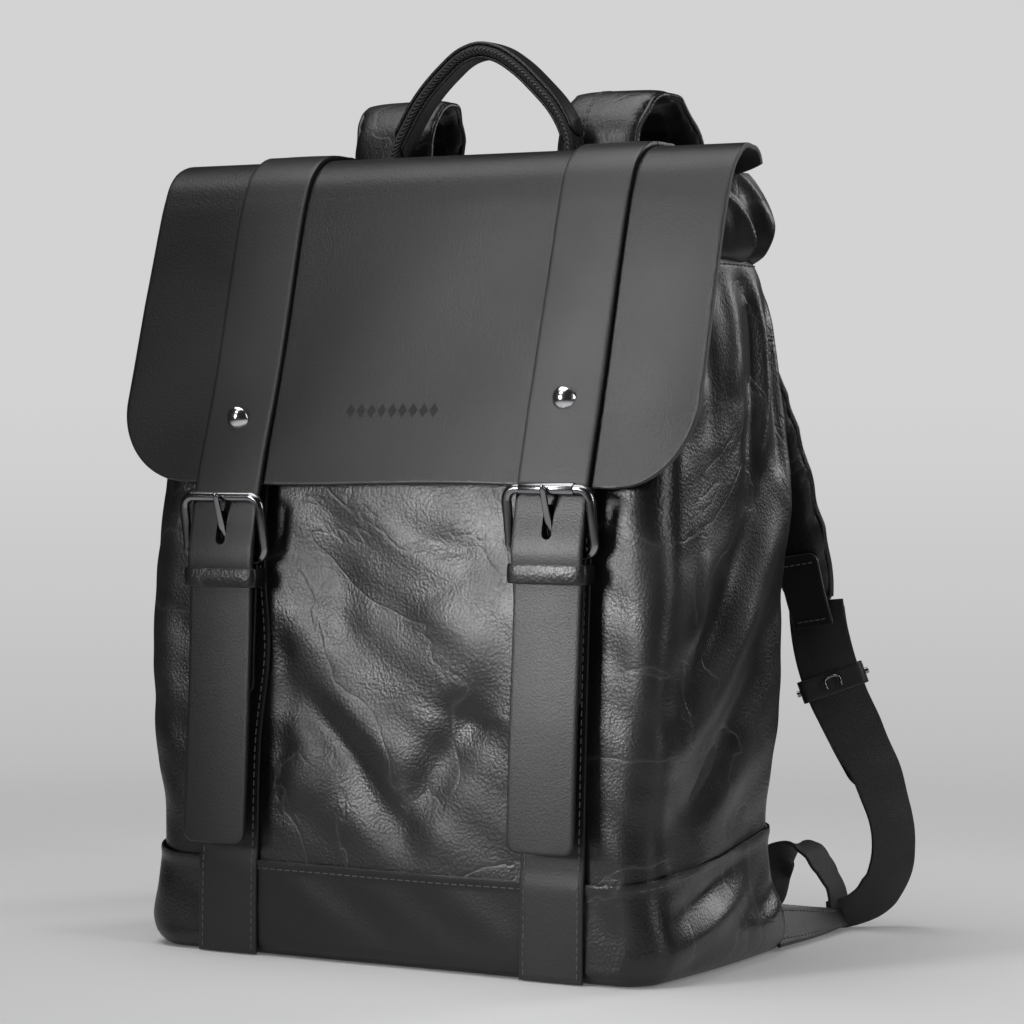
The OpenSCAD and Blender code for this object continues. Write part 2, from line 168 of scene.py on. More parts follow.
def grainedLeather(name, look):
    bench = Bench(name)
    place = bench.node("TexCoord", output="Object")
    cloud = bench.noise(place, look["cloudScale"], 4.0, 0.6)
    mottle = bench.noise(place, look["mottleScale"], 5.0, 0.4)
    drift = bench.node("TexNoise", {"Vector": place, "Scale": 160.0}, output="Color")
    wander = bench.node("MapRange", {"Vector": drift, 7: (0.0, 0.0, 0.0), 8: (1.0, 1.0, 1.0),
                                     9: (-0.0006,) * 3,
                                     10: (0.0006,) * 3}, output=1, data_type="FLOAT_VECTOR")
    bent = bench.node("VectorMath", {0: place, 1: wander}, operation="ADD")
    pebble = bench.node("TexVoronoi", {"Vector": bent, "Scale": look["grain"]}, feature="F1")
    pore = bench.noise(place, look["grain"] * 2.3, 2.0)
    crackle = bench.noise(place, look["creaseScale"], 4.0, 1.3)
    crease = (1 - abs(crackle * 2 - 1)) ** look["creaseThin"]
    worn = ((cloud - look["wornFrom"]) * 4).clipped() * (mottle * 1.5 - 0.15).clipped()
    if look.get("ridgeWearAndHighlight"):
        # the raised fold tops get the lighter tone: partly rubbed wear, partly a painted highlight
        high = bench.node("Attribute", output="Fac", attribute_name="highSpotWearAndHighlight")
        worn = (worn * 0.45 + ((high - 0.40) * 2.2).clipped() * (mottle * 0.7 + 0.45)).clipped()
    shade = bench.tint(worn, look["dark"], look["worn"])
    shade = bench.tint((crease * look["creaseLight"]).clipped(), shade, look["creaseTone"])
    height = (pebble * look["pebbleDepth"] + pore * 0.25 - crease * look["creaseDepth"]
              + mottle * look["mottleDepth"])
    if look.get("stamp"):
        # reads the flap's UV map in centimetres
        parts = bench.tree.nodes.new("ShaderNodeSeparateXYZ")
        bench.plug(parts.inputs[0], bench.node("TexCoord", output="UV"))
        across = Wire(bench.tree, parts.outputs[0]) - look["stamp"][0]
        along = Wire(bench.tree, parts.outputs[1]) - look["stamp"][1]
        cell = bench.node("Math", {0: across * 1.6, 1: 0.5}, operation="PINGPONG") * 2 + abs(along) * 2.3
        mark = ((0.95 - cell) * 7).clipped() * ((2.8 - abs(across)) * 40).clipped()
        height = height - mark * 22
        mottle = mottle + mark * 2.5
        shade = bench.tint(mark * 0.75, shade, (0.003, 0.003, 0.003))
    rough = look["smooth"] + (mottle - 0.5) * look["patchy"] + worn * 0.05 + pebble * 0.06
    bench.set(Base_Color=shade, Roughness=rough.clipped())
    bench.shader.inputs["Specular IOR Level"].default_value = look["shine"]
    bench.relief(height, look["bump"], 0.0006)
    return bench.material


bodyLook = {
    "dark": (0.0036, 0.0036, 0.0038), "worn": (0.018, 0.018, 0.0185), "creaseTone": (0.06, 0.06, 0.06),
    "cloudScale": 7.0, "mottleScale": 26.0, "grain": 640.0, "creaseScale": 8.0, "creaseThin": 60.0,
    "creaseLight": 0.5, "wornFrom": 0.46, "smooth": 0.33, "patchy": 0.36, "shine": 0.6, "pebbleDepth": 1.0,
    "creaseDepth": 1.4, "mottleDepth": 2.0, "bump": 0.19,
}
flapLook = {
    "dark": (0.007, 0.007, 0.0073), "worn": (0.015, 0.015, 0.015), "creaseTone": (0.03, 0.03, 0.03),
    "cloudScale": 6.0, "mottleScale": 18.0, "grain": 800.0, "creaseScale": 9.0, "creaseThin": 40.0,
    "creaseLight": 0.05, "wornFrom": 0.48, "smooth": 0.37, "patchy": 0.12, "shine": 0.5, "pebbleDepth": 0.8,
    "creaseDepth": 0.1, "mottleDepth": 0.6, "bump": 0.17,
}
# body leather whose raised fold tops are lighter: partly wear, partly a painted highlight
ridgeWearAndHighlightLook = dict(bodyLook, ridgeWearAndHighlight=True)
strapLook = dict(flapLook, dark=(0.008, 0.008, 0.0083), worn=(0.014, 0.014, 0.014), grain=950.0, smooth=0.40,
                 shine=0.6, bump=0.13)
bandLook = dict(flapLook, dark=(0.004, 0.004, 0.0042), worn=(0.012, 0.012, 0.012), smooth=0.38, bump=0.15)
padLook = dict(bodyLook, dark=(0.006, 0.006, 0.0062), worn=(0.022, 0.022, 0.022), smooth=0.36,
               mottleScale=32.0, bump=0.18)
bodyLeather = grainedLeather("bodyLeather", bodyLook)
ridgeWearAndHighlightLeather = grainedLeather("ridgeWearAndHighlightLeather", ridgeWearAndHighlightLook)
flapLeather = grainedLeather("flapLeather", dict(flapLook, stamp=(0.45, 15.2)))
strapLeather = grainedLeather("strapLeather", strapLook)
bandLeather = grainedLeather("bandLeather", bandLook)
padLeather = grainedLeather("padLeather", padLook)


def fibrous(name, dark, light, scale, rough, bump=0.4):
    bench = Bench(name)
    place = bench.node("TexCoord", output="Object")
    fibre = bench.noise(place, scale, 5.0, 0.8)
    patch = bench.noise(place, scale * 0.04, 3.0)
    bench.set(Base_Color=bench.tint((fibre * 0.6 + patch * 0.6 - 0.1).clipped(), dark, light),
              Roughness=(rough + (fibre - 0.5) * 0.15).clipped())
    bench.relief(fibre + patch * 0.5, bump, 0.0004)
    return bench.material


suedeSide = fibrous("suedeSide", (0.018, 0.017, 0.017), (0.05, 0.048, 0.047), 900.0, 0.9)
cutEdge = fibrous("cutEdge", (0.03, 0.03, 0.03), (0.12, 0.12, 0.12), 700.0, 0.6, 0.25)
darkEdge = fibrous("darkEdge", (0.010, 0.010, 0.010), (0.028, 0.028, 0.028), 700.0, 0.42, 0.2)
thread = fibrous("thread", (0.05, 0.05, 0.05), (0.16, 0.16, 0.16), 1500.0, 0.5, 0.3)
board = fibrous("board", (0.12, 0.10, 0.08), (0.22, 0.19, 0.15), 260.0, 0.85)
# face, cut edge and underside of what is cut from one hide
cutStrap = (strapLeather, darkEdge)
thickStrap = (strapLeather, darkEdge, suedeSide)
flapSides = (flapLeather, cutEdge, suedeSide)


def wovenCloth(name, look):
    # reads a UV map in centimetres: u across, v along
    bench = Bench(name)
    place = bench.node("TexCoord", output="UV")
    parts = bench.tree.nodes.new("ShaderNodeSeparateXYZ")
    bench.plug(parts.inputs[0], place)
    across = Wire(bench.tree, parts.outputs[0])
    along = Wire(bench.tree, parts.outputs[1])
    turn = 2 * math.pi
    lean = abs(across) * look["chevron"]
    warp = (across * (turn / look["warpPitch"])).wave() * 0.5 + 0.5
    weft = ((along + lean) * (turn / look["weftPitch"])).wave() * 0.5 + 0.5
    cell = warp * look["warpShare"] + weft * (1 - look["warpShare"])
    solid = bench.node("TexCoord", output="Object")
    fuzz = bench.noise(solid, 1300.0, 3.0)
    patch = bench.noise(solid, 22.0, 3.0)
    share = (cell * 0.7 + fuzz * 0.5 + patch * 0.3 - 0.45).clipped()
    bench.set(Base_Color=bench.tint(share, look["dark"], look["light"]),
              Roughness=(look["rough"] + (fuzz - 0.5) * 0.2).clipped())
    bench.relief(cell + fuzz * 0.3, look["bump"], look["depth"])
    return bench.material


webbingLook = {
    "dark": (0.006, 0.006, 0.006), "light": (0.028, 0.028, 0.029), "warpPitch": 0.13, "weftPitch": 0.11,
    "warpShare": 0.5, "chevron": 0.0, "rough": 0.66, "bump": 0.5, "depth": 0.0003,
}
braidLook = dict(webbingLook, light=(0.11, 0.11, 0.11), warpPitch=0.42, weftPitch=0.27, warpShare=0.35,
                 chevron=0.9, bump=0.95, depth=0.0011)
liningLook = dict(webbingLook, dark=(0.012, 0.012, 0.013), light=(0.032, 0.032, 0.034), warpPitch=0.06,
                  weftPitch=0.06, rough=0.8, bump=0.3, depth=0.0002)
meshLook = dict(webbingLook, dark=(0.005, 0.005, 0.005), light=(0.03, 0.03, 0.03), warpPitch=0.3,
                weftPitch=0.3, rough=0.8, bump=0.9, depth=0.0012)
webbingCloth = wovenCloth("webbingCloth", webbingLook)
braidCloth = wovenCloth("braidCloth", braidLook)
liningCloth = wovenCloth("liningCloth", liningLook)
meshCloth = wovenCloth("meshCloth", meshLook)


def metal(name, dark, light, rough, scale=90.0):
    bench = Bench(name)
    place = bench.node("TexCoord", output="Object")
    smear = bench.noise(place, scale, 4.0, 0.5)
    speck = bench.noise(place, scale * 16, 3.0)
    bench.set(Base_Color=bench.tint(smear, dark, light),
              Roughness=(rough + (smear - 0.5) * 0.12 + speck * 0.04).clipped())
    bench.shader.inputs["Metallic"].default_value = 1.0
    bench.relief(speck + smear, 0.04, 0.0002)
    return bench.material


gunmetal = metal("gunmetal", (0.20, 0.20, 0.21), (0.34, 0.34, 0.35), 0.16)
rivetMetal = metal("rivetMetal", (0.62, 0.62, 0.64), (0.82, 0.82, 0.84), 0.14)
zipMetal = metal("zipMetal", (0.30, 0.30, 0.31), (0.46, 0.46, 0.47), 0.3)

# the floor fades out where its far edge would show
floorLook = {
    "radius": 1.05, "solid": 0.45, "tone": (0.82, 0.82, 0.825), "wallLow": 0.41, "wallHigh": 0.65,
    "fill": 0.02, "glow": 0.09,
}
bpy.ops.mesh.primitive_circle_add(vertices=96, radius=floorLook["radius"], fill_type="NGON")
floor = bpy.context.object
floor.name = "floor"
bench = Bench("floorPaper")
place = bench.node("TexCoord", output="Object")
reach = bench.node("VectorMath", {0: place}, output="Value", operation="LENGTH")
fadeRun = floorLook["radius"] - floorLook["solid"] - 0.01
fade = 1 - ((reach - floorLook["solid"]) * (1 / fadeRun)).clipped()
bench.set(Base_Color=bench.tint(bench.noise(place, 5.0, 2.0) * 0.1, floorLook["tone"], (0.7, 0.7, 0.7)),
          Roughness=0.6, Alpha=fade ** 1.5)
bench.shader.inputs["Emission Color"].default_value = (1, 1, 1, 1)
bench.shader.inputs["Emission Strength"].default_value = floorLook["glow"]
floor.data.materials.append(bench.material)

bpy.context.scene.view_settings.view_transform = "Standard"
world = bpy.data.worlds.new("studio")
bpy.context.scene.world = world
world.use_nodes = True
sky = world.node_tree
sky.nodes.clear()
skyOut = sky.nodes.new("ShaderNodeOutputWorld")
skyMix = sky.nodes.new("ShaderNodeMixShader")
skySeen = sky.nodes.new("ShaderNodeBackground")
skyFill = sky.nodes.new("ShaderNodeBackground")
rays = sky.nodes.new("ShaderNodeLightPath")
heading = sky.nodes.new("ShaderNodeTexCoord")
split = sky.nodes.new("ShaderNodeSeparateXYZ")
sky.links.new(heading.outputs["Generated"], split.inputs[0])
rise = Wire(sky, split.outputs[2])
wallRun = floorLook["wallHigh"] - floorLook["wallLow"]
# the backdrop the camera sees is darker below the horizon: a painted shade where the floor runs into the
# wall
tone = ((rise + 0.14) * 7.0).clipped()**0.7 * wallRun + floorLook["wallLow"]
sky.links.new(tone.socket, skySeen.inputs["Strength"])
skySeen.inputs["Color"].default_value = (1, 1, 1, 1)
skyFill.inputs["Color"].default_value = (1, 1, 1, 1)
skyFill.inputs["Strength"].default_value = floorLook["fill"]
sky.links.new(rays.outputs["Is Camera Ray"], skyMix.inputs[0])
sky.links.new(skyFill.outputs[0], skyMix.inputs[1])
sky.links.new(skySeen.outputs[0], skyMix.inputs[2])
sky.links.new(skyMix.outputs[0], skyOut.inputs[0])
print("stage: view, light and finishes are ready")

bends = {  # two bodies, and where fabric leaves the first and joins the second
    "flapFront": ("flap_upper", "flap_lower", (0, -0.0285, 0.4095), (0, -0.0395, 0.389)),
    "flapRoot": ("bag", "flap_upper", (0, 0.007, 0.4165), (0, -0.003, 0.4165)),
    "handleFoot": ("bag", "handle", (0, 0.012, 0.417), (0, 0.012, 0.426)),
}


# ways of making pieces
def belong(obj, body, slot, *nodes):
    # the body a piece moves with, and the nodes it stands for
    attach(obj, body)
    if nodes:
        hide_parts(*nodes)


def belongAcross(obj, bend, slot, *nodes):
    # for a piece that turns between two bodies: hides the nodes it stands for and puts its place into the
    # mesh
    if nodes:
        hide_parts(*nodes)
    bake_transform(obj)


def pick(*objs):
    bpy.ops.object.select_all(action="DESELECT")
    for obj in objs:
        obj.select_set(True)
    bpy.context.view_layer.objects.active = objs[0]


@contextlib.contextmanager
def editing(obj, action="SELECT"):
    pick(obj)
    bpy.ops.object.mode_set(mode="EDIT")
    bpy.ops.mesh.select_all(action=action)
    yield
    bpy.ops.object.mode_set(mode="OBJECT")


def settle(obj, name, *materials):
    # place, turn and size go into the mesh
    obj.name = name
    obj.data.name = name
    pick(obj)
    bpy.ops.object.transform_apply(location=True, rotation=True, scale=True)
    obj.data.materials.clear()
    for material in materials:
        obj.data.materials.append(material)
    return obj


def modify(obj, kind, **settings):
    modifier = obj.modifiers.new(kind.title(), kind)
    for key, value in settings.items():
        setattr(modifier, key, value)
    pick(obj)
    bpy.ops.object.modifier_apply(modifier=modifier.name)


def pickFaces(obj, wanted):
    # leaves the piece in edit mode with the wanted faces selected
    with editing(obj, "DESELECT"):
        pass
    for face in obj.data.polygons:
        face.select = wanted(face)
    bpy.ops.object.mode_set(mode="EDIT")


def smooth(obj, angle=50):
    pick(obj)
    bpy.ops.object.shade_smooth_by_angle(angle=math.radians(angle))


def readPoints(obj):
    flat = np.empty(len(obj.data.vertices) * 3)
    obj.data.vertices.foreach_get("co", flat)
    return flat.reshape(-1, 3)


def writePoints(obj, points):
    obj.data.vertices.foreach_set("co", np.asarray(points).ravel())
    obj.data.update()


def smoothed(points, steps=14):
    # a smooth curve through the points, however unevenly they stand
    points = np.array(points, float)
    gap = np.maximum(np.linalg.norm(np.diff(points, axis=0), axis=1), 1e-6)[:, None]
    slope = np.diff(points, axis=0) / gap
    middle = (slope[:-1] * gap[1:] + slope[1:] * gap[:-1]) / (gap[:-1] + gap[1:])
    slope = np.vstack([slope[:1], middle, slope[-1:]])
    curve = []
    t = np.linspace(0, 1, steps, endpoint=False)[:, None]
    for i in range(len(points) - 1):
        a, b, h = points[i], points[i + 1], gap[i]
        curve.append(a * (1 + 2 * t) * (1 - t)**2 + b * t**2 * (3 - 2 * t)
                     + h * slope[i] * t * (1 - t)**2 + h * slope[i + 1] * t**2 * (t - 1))
    return np.vstack(curve + [points[-1:]])


def runLength(curve):
    return np.concatenate([[0], np.cumsum(np.linalg.norm(np.diff(curve, axis=0), axis=1))])


def pointAt(curve, share):
    length = runLength(curve)
    at = held(share) * length[-1]
    return np.stack([np.interp(at, length, curve[:, k]) for k in range(curve.shape[1])], -1)


def held(values):
    # kept between 0 and 1
    return np.clip(values, 0, 1)


def unit(vectors):
    return vectors / np.maximum(np.linalg.norm(vectors, axis=-1, keepdims=True), 1e-9)


def headingAt(curve, share, step=0.006):
    return unit(pointAt(curve, share + step) - pointAt(curve, share - step))


def lineAt(line, share, offset):
    # a side-view line's y and z, moved to its left
    curve = smoothed(line)
    at = pointAt(curve, share)
    d = headingAt(curve, share)
    return at[:, 0] - d[:, 1] * offset, at[:, 1] + d[:, 0] * offset


def cornerCut(rise):
    # how much of its radius a round corner takes off the width
    return 1 - np.sqrt(1 - rise**2)


def laySheet(name, columns, rows, place, side=1, size=(10, 10), materials=(), joined=False):
    # a grid whose points are put in place by u and v, both from 0 to 1
    bpy.ops.mesh.primitive_grid_add(x_subdivisions=columns, y_subdivisions=rows, size=2)
    obj = bpy.context.object
    flat = readPoints(obj)
    u = (flat[:, 0] + 1) / 2
    v = (flat[:, 1] + 1) / 2
    points = place(u if side > 0 else 1 - u, v) * mm
    points[:, 0] *= side
    writePoints(obj, points)
    corners = np.empty(len(obj.data.loops) * 2)
    layer = obj.data.uv_layers.active.data
    layer.foreach_get("uv", corners)
    corners = corners.reshape(-1, 2)
    corners[:, 0] = (corners[:, 0] - 0.5) * size[0]
    corners[:, 1] *= size[1]
    layer.foreach_set("uv", corners.ravel())
    settle(obj, name, *materials)
    if joined:
        with editing(obj):
            bpy.ops.mesh.remove_doubles(threshold=0.00002)
    return obj


def thicken(obj, thickness, offset=-1, rim=0, under=0, bevel=0):
    modify(obj, "SOLIDIFY", thickness=thickness * mm, offset=offset, use_even_offset=True,
           material_offset_rim=rim,
           material_offset=under)
    if bevel:
        modify(obj, "BEVEL", width=bevel * mm, segments=2, limit_method="ANGLE",
               angle_limit=math.radians(50))
    smooth(obj)


def capEnds(obj):
    with editing(obj):
        bpy.ops.mesh.fill_holes(sides=0)
        bpy.ops.mesh.select_all(action="SELECT")
        bpy.ops.mesh.normals_make_consistent(inside=False)


def bandFrame(curve, sides, share):
    # middle, width direction and face direction along a path in space
    at = pointAt(curve, share)
    d = headingAt(curve, share)
    side = pointAt(smoothed(sides), share)
    side = unit(side - (side * d).sum(-1, keepdims=True) * d)
    return at, side, np.cross(d, side)


def layTube(name, curve, sides, halfWide, halfThick, columns, rows, power=2.0, side=1, materials=(),
            size=(10, 10)):
    # a closed tube with a rounded-oblong section; each half is a number or a function of v
    def place(u, v):
        at, across, face = bandFrame(curve, sides, v)
        angle = u * 2 * math.pi
        c, s = np.cos(angle), np.sin(angle)
        wide = np.sign(c) * np.abs(c)**(2 / power) * (halfWide(v) if callable(halfWide) else halfWide)
        thick = np.sign(s) * np.abs(s)**(2 / power) * (halfThick(v) if callable(halfThick) else halfThick)
        return at + across * wide[:, None] + face * thick[:, None]

    obj = laySheet(name, columns, rows, place, side, size, materials, joined=True)
    capEnds(obj)
    smooth(obj, 60)
    return obj


def sewRow(name, points, faces, pitch=4.6, length=3.2, gap=0.0, radius=0.42):
    # equal stitches along a path, each lying in the surface
    points = np.array(points, float)
    faces = np.array(faces, float)
    total = runLength(points)[-1]
    count = max(int(total / pitch), 2)
    bpy.ops.mesh.primitive_cylinder_add(vertices=6, radius=radius * mm, depth=length * mm)
    model = bpy.context.object
    modify(model, "BEVEL", width=radius * 0.45 * mm, segments=1)
    row = []
    for i in range(count):
        share = np.array([(i + 0.5) / count])
        at = pointAt(points, share)[0]
        d = headingAt(points, share, 0.004)[0]
        n = pointAt(faces, share)[0]
        n = unit(n - (n @ d) * d)
        w = np.cross(n, d)
        turn = Matrix((w, n, d)).transposed().to_4x4()
        stitch = model.copy()
        stitch.data = model.data.copy()
        stitch.matrix_world = Matrix.Translation(Vector((at + n * gap) * mm)) @ turn
        bpy.context.collection.objects.link(stitch)
        row.append(stitch)
    bpy.data.objects.remove(model)
    pick(*row)
    bpy.ops.object.join()
    obj = settle(bpy.context.object, name, thread)
    smooth(obj, 40)
    return obj


# the body: one soft shell, lofted ring by ring
bodyShell = {
    "frontLine": [[-37, 361], [-57, 300], [-71, 245], [-74, 210], [-75.5, 187], [-78.5, 130], [-81, 60],
                  [-82, 0]],
    "backLine": [[82, 0], [69, 33], [68, 130], [72, 183], [77, 273], [75, 299], [66, 346], [51, 361]],
    "widths": [[149, 0], [155, 14], [152.5, 40], [151, 62], [154, 120], [155.5, 190], [153.5, 260],
               [151, 320], [147, 361]], "frontCorner": 20, "backCorner": 20, "sideBulge": 2.0,
    "footRound": 8, "columns": 300, "rows": 132, "top": 361, "strapAt": 97,
}
frontCurve = smoothed(bodyShell["frontLine"])[::-1]
backCurve = smoothed(bodyShell["backLine"])
widthCurve = smoothed(bodyShell["widths"])
ringStops = [0, 0.34, 0.42, 0.74, 0.81, 1]

# each fold: points on the leather, half width, height (a valley is negative)
folds = [
    # front: a valley in a V under two soft swells
    ([[-66, -78, 152], [-45, -79, 128], [-22, -80, 104], [2, -80, 78], [14, -81, 62]], 11, -3.2),
    ([[64, -78, 150], [40, -79, 118], [22, -80, 90], [10, -80, 66]], 13, -2.8),
    ([[20, -78, 190], [36, -78, 160], [30, -79, 130]], 34, 2.4),
    ([[-62, -80, 108], [-52, -80, 78]], 20, 2.2),
    ([[-52, -74, 226], [-34, -76, 196], [-30, -77, 160]], 14, -1.6),
    ([[-10, -73, 232], [14, -74, 218], [52, -74, 214]], 6, -0.8),
    ([[-70, -78, 170], [-66, -79, 130], [-70, -80, 80]], 9, -1.6),
    # right side: long diagonals from the strap's foot to the front corner
    ([[155, 40, 262], [156, 8, 212], [156, -30, 168], [153, -62, 134]], 13, -4.6),
    ([[155, 70, 200], [156, 30, 160], [155, -14, 112], [151, -50, 74]], 15, -4.2),
    ([[155, 58, 236], [156, 20, 192], [156, -24, 142], [150, -66, 104]], 12, 3.6),
    ([[152, -62, 214], [150, -70, 180], [148, -72, 140], [150, -70, 96]], 10, 3.4),
    ([[156, -34, 216], [156, -42, 190], [155, -50, 160]], 8, 2.6),
    ([[154, 30, 120], [154, 0, 92], [152, -30, 66]], 13, 2.4),
    # right side, below the collar: hanging pleats
    ([[149, 38, 352], [152, 42, 320], [153, 40, 290], [154, 28, 246]], 6, 3.4),
    ([[149, 24, 354], [152, 28, 318], [153, 24, 280], [154, 12, 240]], 7, -3.6),
    ([[149, 4, 354], [152, 8, 322], [154, 2, 286]], 8, 2.6),
    ([[150, 62, 338], [154, 66, 300], [155, 66, 256], [155, 62, 214]], 5, 3.0),
    ([[150, 54, 340], [154, 56, 300], [155, 54, 256]], 5, -3.0),
    ([[146, -26, 350], [150, -20, 310], [153, -22, 262]], 9, -2.4),
    # the foot: creases that run out to the corners
    ([[150, -74, 10], [154, -50, 20], [155, -14, 30], [153, 20, 40]], 7, 2.4),
    ([[152, -60, 34], [154, -30, 42], [153, 10, 52]], 8, -2.6),
    ([[154, 10, 14], [155, 40, 20], [154, 66, 36]], 9, 2.0),
    ([[155, 28, 26], [155, 54, 36], [152, 70, 56]], 6, -2.0),
]
foldCurves = [(smoothed(path, 8), wide, tall) for path, wide, tall in folds]
sideFolds = [fold for fold in foldCurves if fold[0][:, 0].min() > 120]
leftFolds = [(curve * np.array([-1, 1, 1]), wide, tall * 0.8) for curve, wide, tall in sideFolds]


def dentAt(points):
    # how far the leather stands out from its plain ring, in millimetres
    x, y, z = points.T
    out = 1.5 * np.sin(x * 0.021 + 1.3) * np.sin(z * 0.023 + 0.4)
    out += 0.7 * np.sin(x * 0.05 + z * 0.043 + y * 0.03)
    out += 0.35 * np.sin(x * 0.13 + z * 0.17 + 2.0) * np.sin(y * 0.11 - z * 0.07)
    for curve, wide, tall in foldCurves + leftFolds:
        near = np.full(len(points), 1e9)
        share = np.zeros(len(points))
        for i in range(len(curve) - 1):
            a, b = curve[i], curve[i + 1]
            ab = b - a
            t = held(((points - a) @ ab) / (ab @ ab))
            gap = np.linalg.norm(points - (a + t[:, None] * ab), axis=1)
            closer = gap < near
            near = np.where(closer, gap, near)
            share = np.where(closer, (i + t) / (len(curve) - 1), share)
        fade = np.sqrt(held(np.sin(np.clip(share, 0.03, 0.97) * math.pi)))
        out += tall * np.exp(-(near / wide)**2) * fade
    # flat under the sewn straps, and never out into the flap
    front = held((-y - 20) / 20)
    sewn = np.exp(-((np.abs(x) - bodyShell["strapAt"]) / 17.0)**6) * front
    out = np.where(sewn > 0.02, out * (1 - sewn) - 0.4 * sewn, out)
    limit = np.where((front > 0.3) & (z > 238), 0.6, 6.0)
    out = np.minimum(out, limit)
    return out * held((361 - z) / 14) * np.clip((z + 4) / 14, 0.3, 1)


def roundedHalf(half, front, back, wide, frontCorner, backCorner, bulge=0.0):
    # half of a rounded oblong seen from above, from the middle of its front to the middle of its back
    t = [(half - a) / (b - a) for a, b in zip(ringStops, ringStops[1:])]
    turn = [held(k) * math.pi / 2 for k in t]
    run = back - front - frontCorner - backCorner
    part = [half <= stop for stop in ringStops[1:5]]
    x = np.select(part, [t[0] * (wide - frontCorner), wide - frontCorner + frontCorner * np.sin(turn[1]),
                         wide + bulge * np.sin(held(t[2]) * math.pi),
                         wide - backCorner + backCorner * np.cos(turn[3])], (1 - t[4]) * (wide - backCorner))
    y = np.select(part, [front, front + frontCorner - frontCorner * np.cos(turn[1]),
                         front + frontCorner + t[2] * run, back - backCorner + backCorner * np.sin(turn[3])],
                  back)
    nx = np.select(part, [0 * x, np.sin(turn[1]), 0 * x + 1, np.cos(turn[3])], 0 * x)
    ny = np.select(part, [0 * x - 1, -np.cos(turn[1]), 0 * x, np.sin(turn[3])], 0 * x + 1)
    return x, y, nx, ny


def ringAt(share, z):
    # a point and its outward direction; share 0 is the middle of the front, 0.5 of the back
    share = np.mod(share, 1.0)
    half = np.where(share <= 0.5, share, 1 - share) * 2
    hand = np.where(share <= 0.5, 1.0, -1.0)
    front = np.interp(z, frontCurve[:, 1], frontCurve[:, 0])
    back = np.interp(z, backCurve[:, 1], backCurve[:, 0])
    wide = np.interp(z, widthCurve[:, 1], widthCurve[:, 0])
    x, y, nx, ny = roundedHalf(half, front, back, wide, bodyShell["frontCorner"], bodyShell["backCorner"],
                               bodyShell["sideBulge"])
    return np.stack([x * hand, y, z], -1), np.stack([nx * hand, ny, 0 * x], -1)


def footAndRise(v, top):
    # height, and how far the foot is drawn in, as v goes up
    r = bodyShell["footRound"]
    turn = held(v / 0.05) * math.pi / 2
    z = np.where(v < 0.05, r * (1 - np.cos(turn)), r + (v - 0.05) / 0.95 * (top - r))
    return z, r * (1 - np.sin(turn))


def bodyPoint(u, v):
    z, drawn = footAndRise(v, bodyShell["top"])
    lip = held((z - 356.5) / 4.5)**2 * 3.0
    at, out = ringAt(u, z)
    return at + out * (dentAt(at) - drawn - lip)[:, None]


body = laySheet("bodyShell", bodyShell["columns"], bodyShell["rows"], bodyPoint, 1, (90, 36),
                (ridgeWearAndHighlightLeather,), joined=True)
capEnds(body)
# the mouth stays open: the cap at the top goes again
pickFaces(body, lambda face: len(face.vertices) > 8 and face.center.z > 0.3)
bpy.ops.mesh.delete(type="FACE")
bpy.ops.object.mode_set(mode="OBJECT")
smooth(body, 70)


def noteRidgeWearAndHighlight(obj):
    # notes how high each point of the leather stands, for its wear and for a painted highlight on the raised
    # fold tops
    high = held(0.5 + dentAt(readPoints(obj) / mm) / 7.0)
    obj.data.attributes.new("highSpotWearAndHighlight", "FLOAT", "POINT").data.foreach_set("value", high.astype(np.float32))


noteRidgeWearAndHighlight(body)
belong(body, "bag", "body_leather", "front_panel", "side_left", "side_right", "back_panel", "base_panel")


def liningPoint(u, v):
    at, out = ringAt(1 - u, 6 + v * 354)
    return at - out * 4.2


lining = laySheet("lining", 120, 40, liningPoint, 1, (90, 36), (liningCloth,), joined=True)
smooth(lining, 70)
belong(lining, "bag", "lining")
print("stage: the body shell is made")

# base band, right round the front and both sides
baseBand = {"reach": 0.39, "out": 1.6, "wall": 1.3, "columns": 260, "rows": 26}


def bandTop(share):
    s = np.abs(share)
    return np.interp(s, [0, 0.168, 0.21, 0.29, 0.37, 0.39], [49.5, 50, 55, 58, 66, 68])


def bandPoint(u, v):
    share = (u - 0.5) * 2 * baseBand["reach"]
    top = bandTop(share)
    turn = held(v / 0.16) * math.pi / 2
    r = bodyShell["footRound"]
    z = np.where(v < 0.16, 0.05 + r * (1 - np.cos(turn)), r + (v - 0.16) / 0.84 * (top - r))
    at, out = ringAt(share, z)
    roll = 0.9 * np.exp(-((v - 0.97) / 0.05)**2)
    return at + out * (dentAt(at) + baseBand["out"] + roll - r * (1 - np.sin(turn)))[:, None]


band = laySheet("baseBand", baseBand["columns"], baseBand["rows"], bandPoint, 1, (66, 5),
                (ridgeWearAndHighlightLeather, bandLeather))
for polygon in band.data.polygons:
    if abs(polygon.center.x) < 0.097 and polygon.center.y < 0:
        polygon.material_index = 1
thicken(band, baseBand["wall"], -1)
noteRidgeWearAndHighlight(band)
belong(band, "bag", "body_leather", "base_band_front", "base_band_left", "base_band_right")


def ringRow(name, shares, height, grow):
    # stitches that follow the ring at a given height
    at, out = ringAt(shares, height)
    at = at + out * (dentAt(at) + grow)[:, None]
    row = sewRow(name, at, out)
    belong(row, "bag", "body_leather")


shares = np.linspace(-0.122, 0.122, 80)
ringRow("stitchBandFront", shares, bandTop(shares) - 4.2, baseBand["out"] + 0.15)
for side, hand in (("Right", 1), ("Left", -1)):
    shares = np.linspace(0.185, 0.375, 90) * hand
    ringRow("stitchBand" + side, shares, bandTop(shares) - 4.0, baseBand["out"] + 0.15)
print("stage: the base band is sewn on")

